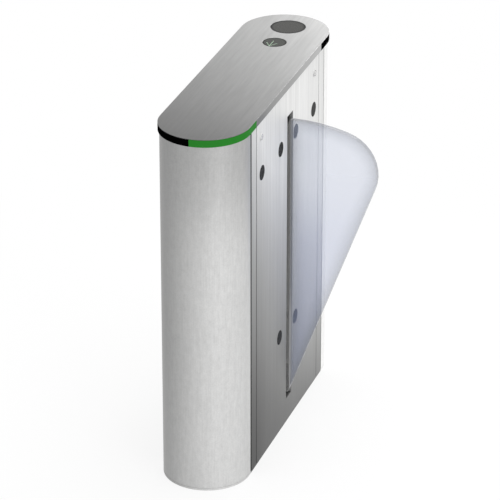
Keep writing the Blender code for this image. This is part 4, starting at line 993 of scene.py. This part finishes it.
def direction_arrow(group):
    """An arrow of small lights in the indicator window, pointing along the cabinet."""
    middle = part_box("indicator_window")[1].z - ARROW_DOT_HEIGHT / 2
    tip = Vector((ARROW_TIP[0], INDICATOR_ALONG + ARROW_TIP[1], middle))
    across, along = ARROW_BARB
    shaft = Vector((0.0, ARROW_SHAFT, 0.0))
    barbs = [Vector((-across, along, 0.0)), Vector((across, along, 0.0))]
    lines = []
    for end in [shaft] + barbs:
        start = tip if end is shaft else tip + end.normalized() * ARROW_DOT_STEP
        lines.append({"First": tuple(start), "Last": tuple(tip + end), "Spacing": ARROW_DOT_STEP,
                      "Facing": FACING_UP, "Dot Radius": ARROW_DOT_RADIUS, "Dot Height": ARROW_DOT_HEIGHT})
    grown("direction_arrow", group, ARROW_GREEN, "lid_assembly", lines)


# Lock faces: a plug and a key slot on each cam's body, and a ring round them on the cabinet. The key slot's
# dark is painted shade of its recess, and the dark ring is a painted shadow round the plug.

def disc(name, middle, radius, start, end):
    """A closed round plate that faces along X, with its rim eased."""
    skin = bmesh.new()
    rings = []
    ease = (end - start) / 2
    for at, size in ((start, radius), (end - ease, radius), (end, radius - ease)):
        ring = []
        for index in range(ROUND_SIDES):
            turn = math.tau * index / ROUND_SIDES
            along, up = middle.y + size * math.cos(turn), middle.z + size * math.sin(turn)
            ring.append(skin.verts.new((at, along, up)))
        rings.append(ring)
    add_solid(skin, rings)
    return finished_skin(skin, name)


def key_slot(name, middle, start, end):
    """A dark upright slot with round ends, a hair proud of the plug so that it shows: painted shade of the
    keyway's recess.
    """
    skin = bmesh.new()
    radius = KEY_SLOT_WIDTH / 2
    half = KEY_SLOT_LENGTH / 2 - radius
    outline = []
    for index in range(KEY_SLOT_SIDES):
        turn = math.tau * index / KEY_SLOT_SIDES
        rise = half if math.sin(turn) > 0 else -half
        outline.append((middle.y + radius * math.cos(turn), middle.z + rise + radius * math.sin(turn)))
    add_solid(skin, [[skin.verts.new((at, along, up)) for along, up in outline] for at in (start, end)])
    return finished_skin(skin, name)


def shadow_ring(name, middle):
    """A thin round ring that faces along X, half sunk round the plug, for the painted shadow round it."""
    skin = bmesh.new()
    rings = []
    for index in range(ROUND_SIDES):
        turn = math.tau * index / ROUND_SIDES
        ring = []
        for step in range(LOCK_RING_SIDES):
            round_it = math.tau * step / LOCK_RING_SIDES
            out = LOCK_RING_RADIUS + LOCK_RING_THICKNESS / 2 * math.cos(round_it)
            rise = LOCK_RING_THICKNESS / 2 * math.sin(round_it)
            ring.append(skin.verts.new(middle + Vector((rise, out * math.cos(turn), out * math.sin(turn)))))
        rings.append(ring)
    for first, second in zip(rings, rings[1:] + rings[:1]):
        add_wall(skin, first, second)
    return finished_skin(skin, name)


def lock_face(side):
    """The plug, key slot and ring of one lock."""
    low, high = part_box("lock_barrel_" + side)
    middle = (low + high) / 2
    face = high.x
    body = side + "_cam"
    back, front = face - LOCK_PLUG_PROUD, face + LOCK_PLUG_PROUD
    plug = disc("lock_plug_" + side, middle, LOCK_PLUG_RADIUS, back, front)
    new_piece("lock_plug_" + side, plug, LOCK_CHROME, body)
    slot = key_slot("key_slot_" + side, middle, face, front + KEY_SLOT_PROUD)
    new_piece("key_slot_" + side, slot, BLACK_PLASTIC, body)
    ring = shadow_ring("lock_shadow_ring_" + side, Vector((face, middle.y, middle.z)))
    new_piece("lock_shadow_ring_" + side, ring, RUBBER, "cabinet")


# Strips on the walls: painted shadow in the seams, and painted reflection on the slot's lips

def add_shadow_strip(skin, wall, out, along, half, span):
    """One upright strip with a low rounded face, set a hair into the wall."""
    outline = [(wall - out * SEAM_SHADOW_PROUD, along - half), (wall - out * SEAM_SHADOW_PROUD, along + half)]
    for index in range(SEAM_SHADOW_SIDES + 1):
        turn = math.pi * index / SEAM_SHADOW_SIDES
        outline.append((wall + out * SEAM_SHADOW_PROUD * math.sin(turn), along + half * math.cos(turn)))
    add_upright(skin, outline, span)


def seam_shadow_strips():
    """A slim dark strip in each upright seam, from panel to post and from post to column: painted shadow in
    the seam's gap.
    """
    skin = bmesh.new()
    for node, corner, out in (("flap_side_panel", 1, 1.0), ("service_panel", 0, -1.0)):
        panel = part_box(node)
        for edge in panel:
            add_shadow_strip(skin, panel[corner].x, out, edge.y, PANEL_SEAM_SHADOW_WIDTH / 2, (panel[0].z, panel[1].z))
    for side in ("near", "far"):
        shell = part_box(side + "_column_shell")
        for face in ("flap", "service"):
            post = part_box("corner_post_%s_%s" % (face, side))
            along = (shell[1].y + post[0].y) / 2 if side == "near" else (shell[0].y + post[1].y) / 2
            out = 1.0 if face == "flap" else -1.0
            wall = shell[1].x if face == "flap" else shell[0].x
            span = (max(shell[0].z, post[0].z), min(shell[1].z, post[1].z))
            add_shadow_strip(skin, wall, out, along, SEAM_SHADOW_WIDTHS[side] / 2, span)
    new_piece("seam_shadow_strips", finished_skin(skin, "seam_shadow_strips"), RUBBER, "cabinet")


def slot_lip_highlights():
    """A pale strip along each upright lip of the wing's slot, round at both edges: painted reflection of the
    lit steel lip.
    """
    skin = bmesh.new()
    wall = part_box("flap_side_panel")[1].x
    half = LIP_HIGHLIGHT_THICKNESS / 2
    for lip, inward in ((SLOT_NEAR, 1.0), (SLOT_FAR, -1.0)):
        middle = lip + inward * half
        outline = []
        for centre, facing in ((wall - half, 0.0), (wall - LIP_HIGHLIGHT_DEPTH, math.pi)):
            for index in range(LIP_HIGHLIGHT_SIDES + 1):
                turn = facing - math.pi / 2 + math.pi * index / LIP_HIGHLIGHT_SIDES
                outline.append((centre + half * math.cos(turn), middle + half * math.sin(turn)))
        add_upright(skin, outline, (SLOT_LOW, SLOT_HIGH))
    new_piece("slot_lip_highlights", finished_skin(skin, "slot_lip_highlights"), LIP_HIGHLIGHT_FINISH, "cabinet")


# Stage

def seen_ray(tree):
    """One for what the camera sees straight, in metal or through glass, and otherwise zero."""
    ray = tree.node("ShaderNodeLightPath", output="Is Camera Ray")
    seen = ray + ray.other("Is Glossy Ray") + ray.other("Is Transmission Ray")
    return seen.maths("MINIMUM", seen, 1.0)


def floor_finish():
    """Pale floor, seen as partly white near in, where it keeps a shadow, and all white far out."""
    material = bpy.data.materials.new("pale_floor")
    material.use_nodes = True
    tree = Tree(material.node_tree)
    material.node_tree.nodes.clear()
    matt = tree.node("ShaderNodeBsdfDiffuse", values={"Color": FLOOR_TONE})
    white = tree.node("ShaderNodeEmission", values={"Color": WHITE, "Strength": 1.0})
    far_out = distance(tree.along("X"), tree.along("Y"))
    lift = tree.eased(far_out, *FLOOR_LIFT_REACH, *FLOOR_LIFT_SHARES)
    both = tree.node("ShaderNodeMixShader", values={0: seen_ray(tree) * lift, 1: matt, 2: white})
    end = material.node_tree.nodes.new("ShaderNodeOutputMaterial")
    tree.feed(end.inputs["Surface"], both)
    return material


def make_floor():
    mesh = bpy.data.meshes.new("floor")
    corners = [(-FLOOR_HALF, -FLOOR_HALF), (FLOOR_HALF, -FLOOR_HALF),
               (FLOOR_HALF, FLOOR_HALF), (-FLOOR_HALF, FLOOR_HALF)]
    mesh.from_pydata([(x, y, -FLOOR_DROP) for x, y in corners], [], [(0, 1, 2, 3)])
    floor = linked("floor", mesh)
    mesh.materials.append(floor_finish())


def make_world():
    """Even soft light, with white behind whatever is seen past the floor."""
    world = bpy.data.worlds.new("studio")
    world.use_nodes = True
    bpy.context.scene.world = world
    tree = Tree(world.node_tree)
    shader = world.node_tree.nodes["Background"]
    shader.inputs["Color"].default_value = WHITE
    tree.feed(shader.inputs["Strength"], WORLD_STRENGTH + (1.0 - WORLD_STRENGTH) * seen_ray(tree))


def aim(item, place, target):
    """Stands a lamp or the camera at a place and turns it to a target."""
    item.location = place
    item.rotation_euler = (Vector(target) - Vector(place)).to_track_quat("-Z", "Y").to_euler()


def make_lamps():
    for name, place, target, width, height, watts in LAMPS:
        light = bpy.data.lights.new(name, "AREA")
        light.shape = "RECTANGLE"
        light.size = width
        light.size_y = height
        light.energy = watts
        aim(linked(name, light), place, target)


def make_camera():
    lens = bpy.data.cameras.new("camera")
    lens.sensor_width = CAMERA_SENSOR
    lens.lens = CAMERA_LENS
    lens.clip_start = CAMERA_NEAR
    lens.clip_end = CAMERA_FAR
    camera = linked("camera", lens)
    aim(camera, CAMERA_PLACE, CAMERA_TARGET)
    bpy.context.scene.camera = camera


for node_name in sorted(frame["nodes"]):
    dress(node_name)
service_screws(screw_row_network())
bearing_screws(screw_ring_network())
motor_fins(fin_stack_network())
direction_arrow(light_line_network())
lock_face("near")
lock_face("far")
seam_shadow_strips()
slot_lip_highlights()
make_floor()
make_world()
make_lamps()
make_camera()
bpy.context.scene.view_settings.view_transform = "Standard"
